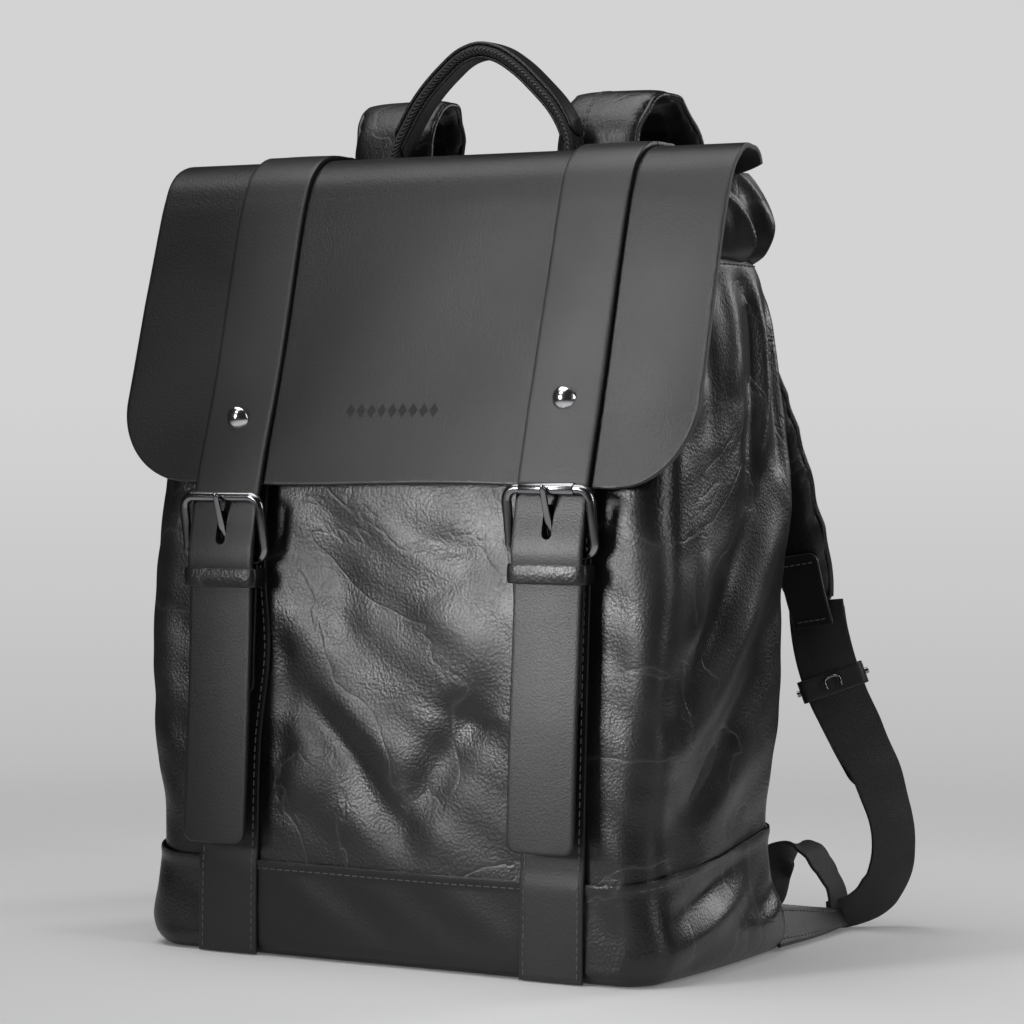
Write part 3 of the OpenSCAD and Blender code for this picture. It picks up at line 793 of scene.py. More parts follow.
# straps sewn down the front of the body
sewnStrap = {"run": [[-52.5, 313]] + bodyShell["frontLine"][1:-1] + [[-82, 0.6]],
             "half": 18, "wall": 1.9, "out": 2.3}
for side, hand in (("left", -1), ("right", 1)):

    def sewnPoint(u, v, hand=hand, lift=0.0):
        y, z = lineAt(sewnStrap["run"], v, 0.0)
        over = 0.9 * held((54 - z) / 6)
        # the left strap is pushed outwards a little at its middle
        sway = 5.0 * np.exp(-((z - 158) / 32)**2) if hand < 0 else 0.0 * z
        x = bodyShell["strapAt"] + (0.5 - u) * 2 * sewnStrap["half"] - sway
        crown = 0.35 * np.sin(held(u) * math.pi)
        return np.stack([x, y - sewnStrap["out"] - over - crown - lift, z], -1)

    strap = laySheet("sewnStrap_" + side, 10, 90, sewnPoint, hand, (3.6, 32), cutStrap)
    thicken(strap, sewnStrap["wall"], -1, rim=1, bevel=0.35)
    belong(strap, "bag", "strap_leather", "body_strap_" + side)
    for edge, u in (("a", 0.075), ("b", 0.925)):
        v = np.linspace(0.30, 0.995, 120)
        points = sewnPoint(np.full(120, u), v, lift=0.12)
        points[:, 0] *= hand
        row = sewRow("stitchStrap_" + side + "_" + edge, points, np.tile([0, -1, 0], (120, 1)), pitch=4.4,
                     length=3.0)
        belong(row, "bag", "strap_leather")
print("stage: the body straps are sewn down")

# collar: a gathered neck above the seam
collar = {
    "front": (-37, -28), "back": (50, 12), "wide": (147.5, 144), "tops": (398, 404), "corner": 12,
    "wall": 2.2, "columns": 240, "rows": 26,
}


def collarPoint(u, v):
    share = np.mod(u, 1.0)
    half = np.where(share <= 0.5, share, 1 - share) * 2
    hand = np.where(share <= 0.5, 1.0, -1.0)
    ease = v**0.85
    front = collar["front"][0] + (collar["front"][1] - collar["front"][0]) * v
    back = collar["back"][0] + (collar["back"][1] - collar["back"][0]) * ease
    wide = collar["wide"][0] + (collar["wide"][1] - collar["wide"][0]) * v + 3.0 * np.sin(v * math.pi * 0.8)
    wing = held((half - 0.42) / 0.2) * held((0.97 - half) / 0.17)
    wide = wide + 7.5 * wing * np.sin(held(v * 0.86) * math.pi)**0.7
    back = back + 27.0 * wing * np.sin(held(v * 0.76) * math.pi)**0.8
    r = collar["corner"] * (1 - 0.35 * v)
    x, y, nx, ny = roundedHalf(half, front, back, wide, r, r)
    top = np.interp(y, [-28, 12], collar["tops"])
    z = 356.5 + (top - 356.5) * v
    # the side pleat: a long three-cornered fold with a sharp back edge
    along = (half - 0.38) / 0.40
    ridge = 0.74 - 0.42 * v
    before = held(along / ridge)
    after = held((along - ridge) / 0.10)
    pleat = np.where(along < ridge, -3.5 + 6.5 * before**1.5,
                     3.0 - 8.0 * after + 4.5 * held((along - ridge - 0.1) / 0.3))
    pleat *= held(along * 6) * held((1.05 - along) * 6) * np.clip(v * 5, 0.25, 1)
    crease = 0.8 * np.sin(half * 60 + v * 5) * np.sin(v * math.pi) + 0.9 * np.sin(half * 23 - v * 9) * v
    tuck = -4.2 * np.exp(-(v / 0.09)**2)
    crease = np.where(half < 0.36, crease * 0.3 - 0.4, crease)
    push = pleat + crease + tuck
    return np.stack([(x + nx * push) * hand, y + ny * push, z], -1)


neck = laySheet("collar", collar["columns"], collar["rows"], collarPoint, 1, (80, 4),
                (bodyLeather, darkEdge, liningCloth),
                joined=True)
thicken(neck, collar["wall"], -1, rim=1, under=2, bevel=0.3)
belong(neck, "bag", "body_leather", "collar_front", "collar_back", "collar_left", "collar_right")
shares = np.linspace(0.02, 0.98, 320)
seamAt, seamOut = ringAt(shares, 357.2 + 0 * shares)
seamRow = sewRow("stitchCollar", seamAt + seamOut * (0.15 + dentAt(seamAt))[:, None], seamOut, pitch=5.2,
                 length=3.8)
belong(seamRow, "bag", "body_leather")
print("stage: the collar is gathered")

# flap
flap = {
    "width": 342, "wall": 2.7, "low": 246, "corner": 42, "columns": 150, "rows": 150,
    "root": [[16.4, 402.5], [15.2, 407.5], [12.6, 413], [8, 416.2], [1.8, 416.5], [-6, 416.7], [-10, 416.6]],
    "front": [[-10, 416.6], [-14, 416.3], [-23, 413], [-31, 406], [-37, 394], [-42, 379], [-47.2, 361],
              [-52.6, 342], [-58.2, 322], [-63.6, 303], [-67.5, 290], [-74.1, 268], [-80.5, 246]],
}


def flapSwell(x, z):
    # slow waves in the hide, shared by the flap and by what lies on it
    wave = 0.8 * np.sin(x * 0.024 + 0.8) * np.sin((z - 246) * 0.03) + 0.4 * np.sin(x * 0.05 - z * 0.03)
    return wave * held((410 - z) / 60) * held((z - 246) / 40)


def flapTaper(y):
    # the hide narrows over the top, towards its root
    return 7.0 * held((y + 26) / 32)**1.3


def flapPoint(u, v):
    y, z = lineAt(flap["front"], v, 0.0)
    rise = held((flap["low"] + flap["corner"] - z) / flap["corner"])
    half = flap["width"] / 2 - flap["corner"] * cornerCut(rise) - flapTaper(y)
    x = (1 - 2 * u) * half
    lift = flapSwell(x, z) + 1.6 * held((np.abs(x) - 130) / 40)**2 * held((400 - z) / 60)
    sag = 0.9 * np.sin(x * 0.03 + 0.5) * held((300 - z) / 50)
    return np.stack([x, y - lift, z + sag], -1)


cover = laySheet("flapLeather", flap["columns"], flap["rows"], flapPoint, 1, (34, 19), flapSides)
thicken(cover, flap["wall"], -1, rim=1, under=2, bevel=0.45)
belongAcross(cover, bends["flapFront"], "flap_leather", "flap_top", "flap_front")


def rootPoint(u, v):
    ends = 0.16 * held((np.abs(1 - 2 * u) - 0.86) / 0.14)**2
    y, z = lineAt(flap["root"], ends + (1 - ends) * v, 0.0)
    half = flap["width"] / 2 - flapTaper(y)
    return np.stack([(1 - 2 * u) * half, y, z], -1)


root = laySheet("flapRoot", flap["columns"], 34, rootPoint, 1, (34, 3), flapSides)
thicken(root, flap["wall"], -1, rim=1, under=2, bevel=0.45)
belongAcross(root, bends["flapRoot"], "flap_leather", "flap_root")
print("stage: the flap is cut")

# flap straps, rivets and buckles
flapStrap = {
    "half": 20, "wall": 2.5, "tailHalf": 19, "drop": (-12 / 42 * 6, -6),
    "front": flap["front"][:11] + [[-80, 248], [-81, 244], [-83.4, 232], [-87, 212], [-86.3, 202]],
    "tail": [[-86.3, 202], [-86.2, 197], [-86.8, 180], [-90.2, 122], [-93.5, 65]], "keeperAt": 197.6,
    "keeperY": (-91.2, -77.4), "rollerAt": (-87.6, 244.5), "barAt": (-82.2, 212), "wire": 2.6, "bend": 6.5,
    "buckleHalf": 23.9, "prong": [[-83.4, 214], [-83.2, 220.5], [-87.8, 231], [-93.3, 246.5]],
    "chape": [[-84.6, 208.6], [-86.2, 211.2], [-85.2, 214.6], [-82.2, 216.1], [-79.4, 214.8], [-78.2, 211],
              [-79, 205], [-80.5, 187], [-83.5, 150], [-83.7, 135]],
}

rivet = {
    "radius": 8, "cut": 4.9, "neck": 0.5, "flange": 1.06, "rim": 0.4, "slope": 12 / 42,
    "place": (-68.3, 289), "lower": 1.6,
}
roller = {"radius": 3.25, "length": 31, "rim": 0.85, "hollow": 0.8, "round": 0.4}
hole = {"radius": 3, "reach": 5.7, "height": 228.2}
tailShape = {"hinge": 197.3, "corner": 6}
keeperShape = {"half": 22.4, "tall": 9.8, "bow": 0.5, "wall": 1.6}
chapeShape = {"half": 17, "corner": 7, "wall": 1.7, "notch": (6, 14, 14)}


def shiftLine(line, start, shift):
    return [p if i < start else [p[0] + shift[0], p[1] + shift[1]] for i, p in enumerate(line)]


def prongHalf(v):
    return 2.3 - 0.7 * v - 0.9 * held((v - 0.93) / 0.07)**2


def prongThick(v):
    return 1.35 - 0.3 * v - 0.5 * held((v - 0.93) / 0.07)**2


for side, hand in (("left", -1), ("right", 1)):
    shift = (0, 0) if hand > 0 else flapStrap["drop"]
    strapRun = shiftLine(flapStrap["front"], 11, shift)
    tailRun = shiftLine(flapStrap["tail"], 0, shift)
    at = bodyShell["strapAt"]

    def strapPoint(u, v):
        y, z = lineAt(strapRun, v, -flapStrap["wall"] - 0.25)
        x = at + (0.5 - u) * 2 * flapStrap["half"]
        swell = flapSwell(x * hand, z) + 0.3 * np.sin(u * math.pi)
        return np.stack([x, y - swell, z], -1)

    def strapRootPoint(u, v):
        y, z = lineAt(flap["root"], v, -flapStrap["wall"] - 0.25)
        crown = 0.3 * np.sin(u * math.pi) * held(v * 3)
        return np.stack([at + (0.5 - u) * 2 * flapStrap["half"], y, z + crown], -1)

    def tailPoint(u, v):
        y, z = lineAt(tailRun, v, -flapStrap["wall"] - 0.1)
        low = tailRun[-1][1]
        rise = held((low + tailShape["corner"] - z) / tailShape["corner"])
        half = flapStrap["tailHalf"] - tailShape["corner"] * cornerCut(rise)
        half = half + held((z - 190) / 12)
        crown = 0.5 * np.sin(u * math.pi)
        lean = 1.2 * np.sin((z - 60) * 0.03) * (1 if hand > 0 else -1)
        return np.stack([at + (0.5 - u) * 2 * half, y - crown - 0.4 * lean, z], -1)

    strap = laySheet("flapStrap_" + side, 16, 190, strapPoint, hand, (4, 22), thickStrap)
    thicken(strap, flapStrap["wall"], -1, rim=1, under=2, bevel=0.5)
    # the long hole that the prong stands in
    bpy.ops.mesh.primitive_cylinder_add(vertices=24, radius=hole["radius"] * mm, depth=24 * mm,
                                        rotation=(math.pi / 2, 0, 0),
                                        location=(at * hand * mm, -0.085, (hole["height"] + shift[1]) * mm))
    cutter = bpy.context.object
    bpy.ops.object.transform_apply(location=False, rotation=True, scale=True)
    points = readPoints(cutter)
    points[:, 2] += np.where(points[:, 2] > 0, hole["reach"] * mm, -hole["reach"] * mm)
    writePoints(cutter, points)
    modify(strap, "BOOLEAN", operation="DIFFERENCE", object=cutter, solver="EXACT")
    bpy.data.objects.remove(cutter)
    smooth(strap)
    belongAcross(strap, bends["flapFront"], "strap_leather", "strap_top_" + side, "strap_front_" + side)

    strapRoot = laySheet("flapStrapRoot_" + side, 16, 34, strapRootPoint, hand, (4, 3), thickStrap)
    thicken(strapRoot, flapStrap["wall"], -1, rim=1, under=2, bevel=0.5)
    belongAcross(strapRoot, bends["flapRoot"], "strap_leather")

    tail = laySheet("strapTail_" + side, 16, 90, tailPoint, hand, (3.8, 14), thickStrap)
    thicken(tail, flapStrap["wall"], -1, rim=1, under=2, bevel=0.5)
    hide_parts("tail_" + side)
    hinge = (tailShape["hinge"] + shift[1]) * mm
    side + "_tail"
    hinge + 0.004
    hinge - 0.005
    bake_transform(tail)

    # rivet: a domed cap on a thin flange
    lean = math.atan(rivet["slope"])
    bpy.ops.mesh.primitive_uv_sphere_add(segments=40, ring_count=24, radius=rivet["radius"] * mm)
    cap = bpy.context.object
    with editing(cap):
        bpy.ops.mesh.bisect(plane_co=(0, 0, rivet["cut"] * mm), plane_no=(0, 0, 1), clear_inner=True)
        bpy.ops.mesh.extrude_region_move(TRANSFORM_OT_translate={"value": (0, 0, -rivet["neck"] * mm)})
        bpy.ops.transform.resize(value=(rivet["flange"], rivet["flange"], 1))
        bpy.ops.mesh.extrude_region_move(TRANSFORM_OT_translate={"value": (0, 0, -rivet["rim"] * mm)})
        bpy.ops.mesh.edge_face_add()
        bpy.ops.mesh.select_all(action="SELECT")
        bpy.ops.mesh.normals_make_consistent(inside=False)
    seat = Vector((at * hand, rivet["place"][0] + shift[0] * rivet["lower"],
                   rivet["place"][1] + shift[1] * rivet["lower"]))
    cap.location = (seat + Vector((0, math.cos(lean), math.sin(lean)))) * mm
    cap.rotation_euler = (math.pi / 2 + lean, 0, 0)
    settle(cap, "rivetCap_" + side, rivetMetal)
    smooth(cap, 40)
    belong(cap, "flap_lower", "rivet_metal")

    # buckle frame: a ring of wire whose four quarters are drawn apart
    top = Vector((flapStrap["rollerAt"][0] + shift[0], flapStrap["rollerAt"][1] + shift[1]))
    bar = Vector((flapStrap["barAt"][0] + shift[0], flapStrap["barAt"][1] + shift[1]))
    bpy.ops.mesh.primitive_torus_add(major_segments=48, minor_segments=20,
                                     major_radius=flapStrap["bend"] * mm,
                                     minor_radius=flapStrap["wire"] * mm, rotation=(0, 0, math.pi / 48))
    buckle = bpy.context.object
    bpy.ops.object.transform_apply(location=False, rotation=True, scale=True)
    points = readPoints(buckle)
    tall = (top - bar).length
    points[:, 0] += np.sign(points[:, 0]) * (flapStrap["buckleHalf"] - flapStrap["bend"]) * mm
    points[:, 1] += np.sign(points[:, 1]) * (tall / 2 - flapStrap["bend"]) * mm
    # the sides are flatter and wider than the wire, and thin towards the bar
    low = held(0.5 - points[:, 1] / (tall * mm))
    points[:, 2] *= 1 - 0.12 * low
    writePoints(buckle, points)
    middle = (top + bar) / 2
    tilt = math.atan2(bar.x - top.x, top.y - bar.y)
    buckle.rotation_euler = (math.pi / 2 + tilt, 0, 0)
    buckle.location = Vector((at * hand, middle.x, middle.y)) * mm
    settle(buckle, "buckleFrame_" + side, gunmetal)
    smooth(buckle, 60)
    belong(buckle, "flap_lower", "gunmetal", "buckle_frame_" + side)

    # roller: a sleeve with turned ends
    bpy.ops.mesh.primitive_cylinder_add(vertices=40, radius=roller["radius"] * mm,
                                        depth=roller["length"] * mm, rotation=(0, math.pi / 2, 0),
                                        location=(at * hand * mm, top.x * mm, top.y * mm))
    sleeve = bpy.context.object
    settle(sleeve, "roller_" + side, gunmetal)
    pickFaces(sleeve, lambda face: abs(face.normal.x) > 0.9)
    bpy.ops.mesh.select_mode(type="FACE")
    bpy.ops.mesh.inset(thickness=roller["rim"] * mm, depth=0)
    bpy.ops.mesh.inset(thickness=0.05 * mm, depth=-roller["hollow"] * mm)
    bpy.ops.object.mode_set(mode="OBJECT")
    modify(sleeve, "BEVEL", width=roller["round"] * mm, segments=2, limit_method="ANGLE",
           angle_limit=math.radians(50))
    smooth(sleeve, 40)
    belong(sleeve, side + "_roller", "gunmetal", "roller_" + side)

    # prong: a tapering tongue that rests on the roller
    prongLine = shiftLine(flapStrap["prong"], 0, shift)
    prongPath = smoothed([[at, y, z] for y, z in prongLine])
    prong = layTube("prong_" + side, prongPath, [[1, 0, 0], [1, 0, 0]], prongHalf, prongThick, 16, 40, 2.6,
                    hand, (gunmetal,))
    belong(prong, side + "_prong", "gunmetal", "prong_" + side)
    loopPath = smoothed([[at - 2, bar.x, bar.y], [at + 2, bar.x, bar.y]])
    eyeRing = layTube("prongEye_" + side, loopPath, [[0, 1, 0], [0, 1, 0]], 3.7, 3.7, 28, 6,
                         2.0, hand, (gunmetal,))
    belong(eyeRing, side + "_prong", "gunmetal")

    # keeper: a glossy loop round both layers
    def keeperPoint(u, v):
        y0, y1 = flapStrap["keeperY"][0] + shift[0], flapStrap["keeperY"][1] + shift[0]
        half = (y1 - y0) / 2
        angle = u * 2 * math.pi
        c, s = np.cos(angle), np.sin(angle)
        x = at + np.sign(c) * np.abs(c)**0.28 * keeperShape["half"]
        y = (y0 + y1) / 2 + np.sign(s) * np.abs(s)**0.42 * half
        z = flapStrap["keeperAt"] + shift[1] + v * keeperShape["tall"]
        bow = keeperShape["bow"] * np.sin(v * math.pi)
        return np.stack([x + np.sign(c) * np.abs(c) * bow, y + np.sign(s) * np.abs(s) * bow, z], -1)

    keeper = laySheet("keeper_" + side, 96, 8, keeperPoint, hand, (11, 1),
                      (bodyLeather, darkEdge, suedeSide), joined=True)
    thicken(keeper, keeperShape["wall"], -1, rim=1, under=2, bevel=0.3)
    belong(keeper, "flap_lower", "strap_leather", "keeper_" + side)

    # chape: the leather that holds the bar, down to its snap
    chapeShare = [1, 1, 1, 1, 1, 1, 1, 0.6, 0, 0]
    chapeLine = [[p[0] + shift[0] * k, p[1] + shift[1] * k] for p, k in zip(flapStrap["chape"], chapeShare)]

    def chapePoint(u, v):
        y, z = lineAt(chapeLine, v, 0.0)
        low = chapeLine[-1][1]
        corner = chapeShape["corner"]
        rise = held((low + corner - z) / corner) * held((v - 0.5) * 10)
        half = chapeShape["half"] - corner * cornerCut(rise)
        return np.stack([at + (0.5 - u) * 2 * half, y, z], -1)

    chape = laySheet("chape_" + side, 12, 90, chapePoint, hand, (3.4, 10), cutStrap)
    thicken(chape, chapeShape["wall"], 1, rim=1, bevel=0.3)
    bpy.ops.mesh.primitive_cube_add(size=1, location=(at * hand * mm, (bar.x - 2) * mm, (bar.y + 2) * mm))
    notch = bpy.context.object
    notch.scale = [k * mm for k in chapeShape["notch"]]
    modify(chape, "BOOLEAN", operation="DIFFERENCE", object=notch, solver="EXACT")
    bpy.data.objects.remove(notch)
    smooth(chape)
    belong(chape, "flap_lower", "strap_leather", "chape_" + side)
    for edge, u in (("a", 0.1), ("b", 0.9)):
        v = np.linspace(0.42, 0.97, 60)
        points = chapePoint(np.full(60, u), v)
        points[:, 1] -= 1.9
        points[:, 0] *= hand
        row = sewRow("stitchChape_" + side + "_" + edge, points, np.tile([0, -1, 0], (60, 1)), pitch=4.0,
                     length=2.8)
        belong(row, "flap_lower", "strap_leather")
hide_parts("rivets")
print("stage: straps, rivets and buckles are on")

# handle
handle = {
    "foot": 416.6, "y": 12, "half": 7.5, "web": 5.6, "strip": 2.0, "patchAt": (57, 17.6, 406.8),
    "patchSize": (22, 2.4, 15),
    "outline": [ [61, 416], [60.3, 425], [57, 434], [50, 445], [40, 455.5], [27, 467], [14, 474.8],
                [1, 477.6], [-11, 474.5], [-23, 466], [-39, 450], [-49.5, 434], [-55, 424], [-57.5, 416]],
}
outline = smoothed(handle["outline"], 8)
arch = np.stack([outline[:, 0], 0 * outline[:, 0] + handle["y"], outline[:, 1]], -1)
arch = pointAt(arch, np.linspace(0, 1, 81))


def archInset(depth):
    # the arch moved towards its inside
    d = headingAt(arch, np.linspace(0, 1, 81), 0.02)
    return arch + np.stack([-d[:, 2], 0 * d[:, 1], d[:, 0]], -1) * depth


webPath = archInset(handle["strip"] + handle["web"] / 2)
webPath[:, 2] = np.maximum(webPath[:, 2], handle["foot"])
handleSides = [[0, 1, 0], [0, 1, 0]]
grip = layTube("handleWebbing", webPath, handleSides, handle["half"], handle["web"] / 2 + 0.3,
               28, 170, 3.2, 1, (braidCloth,), (4.0, 18))
belongAcross(grip, bends["handleFoot"], "webbing", "handle_webbing")
for name, depth, share, half in (("handleStrip", handle["strip"] * 0.5, (0.055, 0.93), 6.6),
                                 ("handleInner", handle["strip"] + handle["web"] + 0.7, (0.03, 0.97), 6.0)):
    stripPath = archInset(depth)

    def stripHalf(v, half=half):
        return half * np.sqrt(np.clip(np.minimum(v, 1 - v) / 0.035, 0.02, 1))

    part = smoothed(pointAt(stripPath, np.linspace(share[0], share[1], 40)), 4)
    strip = layTube(name, part, handleSides, stripHalf, 1.05, 16, 130, 5.0, 1, (strapLeather,), (1.3, 16))
    belongAcross(strip, bends["handleFoot"], "strap_leather")
    if name == "handleStrip":
        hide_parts("handle_strip")

for side, hand in (("left", -1), ("right", 1)):
    x, y, z = handle["patchAt"]
    bpy.ops.mesh.primitive_cube_add(size=1, location=(x * hand * mm, y * mm, z * mm))
    patch = bpy.context.object
    patch.scale = [k * mm for k in handle["patchSize"]]
    settle(patch, "handlePatch_" + side, strapLeather)
    modify(patch, "BEVEL", width=0.9 * mm, segments=3)
    smooth(patch)
    belong(patch, "bag", "strap_leather")
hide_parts("handle_patches")
print("stage: the handle is sewn")

# shoulder straps
shoulder = {
    "path": [[64, 26, 408], [64, 29, 432], [65, 40, 447], [67, 56, 449], [71, 70, 436], [77, 80, 410],
             [86, 93, 365], [98, 110, 315], [111, 125, 262], [123, 136, 214], [131, 140.5, 184],
             [133.5, 141.7, 172]], "widths": [52, 54, 56, 56, 56, 56, 56, 56, 56, 52, 44, 28],
    "webPath": [[134.2, 141.9, 180], [135, 142, 171], [144.6, 146.4, 130], [154.5, 150.5, 108],
                [165, 156, 84], [170, 161, 62], [170, 165, 41], [165, 167, 27], [158, 163, 16],
                [148, 156, 10], [138, 148, 8]],
    "webSides": [[1, 0, 0], [1, 0, 0], [1, 0, 0], [1, 0, 0], [0.95, 0.25, 0], [0.8, 0.6, 0], [0.5, 0.85, 0],
                 [0.3, 0.85, -0.3], [0.1, 0.75, -0.6], [0, 0.55, -0.75], [0, 0.5, -0.8]], "webWide": 32,
    "webThick": 1.8, "adjusterAt": 0.225,
    "tab": [[128.5, 129.8, 205], [132, 132.4, 185], [135.5, 137.2, 166]],
}
padCurve = smoothed(shoulder["path"])
padWide = smoothed([[w, 0] for w in shoulder["widths"]])
padSides = [[1, 0, 0], [1, 0, 0]]


def padHalf(v):
    return pointAt(np.stack([padWide[:, 0], np.linspace(0, 1, len(padWide)) * 1000], -1), v)[:, 0] / 2


def puff(obj, cap, voxel=0.0045):
    # the filling pushes the cover out, but no further than the cap
    modify(obj, "REMESH", mode="VOXEL", voxel_size=voxel, use_smooth_shade=True)
    before = readPoints(obj)
    cloth = obj.modifiers.new("Cloth", "CLOTH")
    cloth.settings.use_pressure = True
    cloth.settings.uniform_pressure_force = 4
    cloth.settings.effector_weights.gravity = 0
    scene = bpy.context.scene
    for number in range(1, 21):
        scene.frame_set(number)
    pick(obj)
    bpy.ops.object.modifier_apply(modifier=cloth.name)
    scene.frame_set(1)
    move = readPoints(obj) - before
    far = np.linalg.norm(move, axis=1, keepdims=True)
    writePoints(obj, before + move * np.minimum(1, cap * mm / np.maximum(far, 1e-9)))
    modify(obj, "SUBSURF", levels=1, render_levels=1)
    smooth(obj, 80)


def mirrored(obj, name):
    # the same piece for the other side, with its own mesh
    other = obj.copy()
    other.data = obj.data.copy()
    bpy.context.collection.objects.link(other)
    other.name = name
    other.data.name = name
    points = readPoints(other)
    points[:, 0] *= -1
    writePoints(other, points)
    with editing(other):
        bpy.ops.mesh.flip_normals()
    return other


pad = layTube("shoulderPad_right", padCurve, padSides,
              lambda v: padHalf(v) - 0.8 - 3 * held((v - 0.97) / 0.03),
              lambda v: 3.6 - 1.2 * held((v - 0.85) / 0.15), 44, 150, 3.4, 1, (padLeather,))
puff(pad, 2.4)
print("stage: the shoulder pads are filled")
padPair = {"right": pad, "left": mirrored(pad, "shoulderPad_left")}
for side, obj in padPair.items():
    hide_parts("shoulder_pad_" + side)
    side + "_shoulder_strap"
    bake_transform(obj)

for side, hand in (("left", -1), ("right", 1)):
    rider = side + "_shoulder_strap"
    padBend = ("bag", rider, (0, 0.027, 0.42), (0, 0.046, 0.42))
    # piping along both edges, and a sewn channel at the inner third
    for edge, off in (("In", -1), ("Out", 1)):
        shares = np.linspace(0.0, 0.985, 90)
        at, across, face = bandFrame(padCurve, padSides, shares)
        rim = at + across * (off * (padHalf(shares) + 3))[:, None]
        rim = np.array([padPair["right"].closest_point_on_mesh(Vector(p) * mm)[1] for p in rim]) / mm
        rim = rim - across * (off * 0.9)
        rim[1:-1] = (rim[:-2] + rim[1:-1] + rim[2:]) / 3
        rim = smoothed(rim, 3)
        piping = layTube("padPiping" + edge + "_" + side, rim, padSides, 1.7, 1.7, 10, 200, 2.0,
                         hand, (padLeather,))
        belongAcross(piping, padBend, "pad_leather")
    shares = np.linspace(0.02, 0.80, 100)
    at, across, face = bandFrame(padCurve, padSides, shares)
    outer = face if (face[50] @ np.array([0, 1, 0])) > 0 else -face
    for number, offset in enumerate((-0.36, -0.30)):
        points = at + across * (offset * padHalf(shares))[:, None] + outer * 6.5
        points[:, 0] *= hand
        normals = outer * np.array([hand, 1, 1])
        points = np.array([padPair[side].closest_point_on_mesh(Vector(p) * mm)[1] for p in points]) / mm
        row = sewRow("stitchPad%d_%s" % (number, side), points, normals, pitch=4.8, length=3.4)
        belongAcross(row, padBend, "pad_leather")

    # leather tab that joins the pad to the webbing
    tabCurve = smoothed(shoulder["tab"])

    def tabPoint(u, v):
        at, across, face = bandFrame(tabCurve, padSides, v)
        rise = held((0.14 - v) / 0.14)
        half = 12 - 5 * cornerCut(rise)
        return at + across * ((0.5 - u) * 2 * half)[:, None] + np.array([0, -0.4, 0])

    tab = laySheet("padTab_" + side, 14, 40, tabPoint, hand, (2.4, 4), cutStrap)
    thicken(tab, 1.8, 0, rim=1, bevel=0.4)
    belong(tab, rider, "strap_leather", "pad_tab_" + side)
    for number, share in enumerate((0.12, 0.9)):
        at, across, face = bandFrame(tabCurve, padSides, np.full(12, share))
        points = at + across * (np.linspace(-9, 9, 12))[:, None] + np.array([0, -1.6, -0.6])
        points[:, 0] *= hand
        row = sewRow("stitchTab%d_%s" % (number, side), points, np.tile([0, -1, 0.2], (12, 1)), pitch=3.6,
                     length=2.6)
        belong(row, rider, "strap_leather")

    # webbing: doubled above, single below, down to the tab at the bag's foot
    webCurve = smoothed(shoulder["webPath"])
    webLong = runLength(webCurve)[-1] / 10

    def webPoint(u, v):
        at, across, face = bandFrame(webCurve, shoulder["webSides"], v)
        narrow = 1 - 0.5 * held((v - 0.84) / 0.16)
        ripple = 0.5 * np.sin(v * 40 + u * 2) * held(v * 3)
        wide = (0.5 - u) * shoulder["webWide"] * narrow
        return at + across * wide[:, None] + face * (ripple + 0.8 * np.sin(u * math.pi))[:, None]

    web = laySheet("strapWebbing_" + side, 16, 190, webPoint, hand, (3.2, webLong), (webbingCloth,))
    thicken(web, shoulder["webThick"], 0, bevel=0.4)
    belongAcross(web, (rider, "bag", (0, 0.16, 0.062), (0, 0.16, 0.018)), "webbing", "strap_webbing_" + side)

    def secondPoint(u, v):
        share = 0.02 + v * 0.50
        at, across, face = bandFrame(webCurve, shoulder["webSides"], share)
        rise = held((v - 0.88) / 0.12)
        half = 15.2 - 9 * cornerCut(rise)
        outside = -2.6 - 1.6 * v
        return at + across * ((0.5 - u) * 2 * half)[:, None] + face * outside[:, None]

    second = laySheet("webbingFold_" + side, 14, 90, secondPoint, hand, (3.0, webLong * 0.5),
                      (webbingCloth,))
    thicken(second, 1.5, 0, bevel=0.35)
    belong(second, rider, "webbing")

    # adjuster: a leather loop with a metal staple and dark bar ends
    share = np.array([shoulder["adjusterAt"]])
    loopAt, loopAcross, loopFace = (k[0] for k in bandFrame(webCurve, shoulder["webSides"], share))
    loopDown = headingAt(webCurve, share)[0]

    def adjusterPoint(u, v):
        angle = u * 2 * math.pi
        ca, sa = np.cos(angle), np.sin(angle)
        wide = np.sign(ca) * np.abs(ca)**0.3 * 18.6
        deep = np.sign(sa) * np.abs(sa)**0.5 * 4.0 - 1.0
        down = (v - 0.5) * 12
        return loopAt + loopAcross * wide[:, None] + loopFace * deep[:, None] + loopDown * down[:, None]

    adjuster = laySheet("adjusterLoop_" + side, 80, 8, adjusterPoint, hand, (8, 1.2), cutStrap, joined=True)
    thicken(adjuster, 1.5, -1, rim=1, bevel=0.3)
    belong(adjuster, side + "_adjuster", "gunmetal", "adjuster_" + side)
    rodPath = smoothed([loopAt + loopAcross * k - loopFace * 1.0 for k in (-20.5, 0, 20.5)])
    rod = layTube("adjusterBar_" + side, rodPath, [loopFace, loopFace], 1.7, 1.7, 14, 20, 2.0, hand,
                  (gunmetal,))
    belong(rod, side + "_adjuster", "gunmetal")
    outside = -1 if loopFace[1] > 0 else 1
    staplePath = smoothed([loopAt + loopAcross * x + loopFace * outside * d + loopDown * z for x, d, z in
                           ((-4, 3.4, 2.0), (-4, 5.4, 2.0), (-4, 5.6, -2.5), (4, 5.6, -2.5), (4, 5.4, 2.0),
                            (4, 3.4, 2.0))])
    stapleSides = [[0.3, 0.5, 0.8], [0.3, 0.5, 0.8]]
    staple = layTube("adjusterStaple_" + side, staplePath, stapleSides, 0.7, 0.7, 8, 50, 2.0, hand,
                     (gunmetal,))
    belong(staple, side + "_adjuster", "gunmetal")
print("stage: the shoulder straps hang")

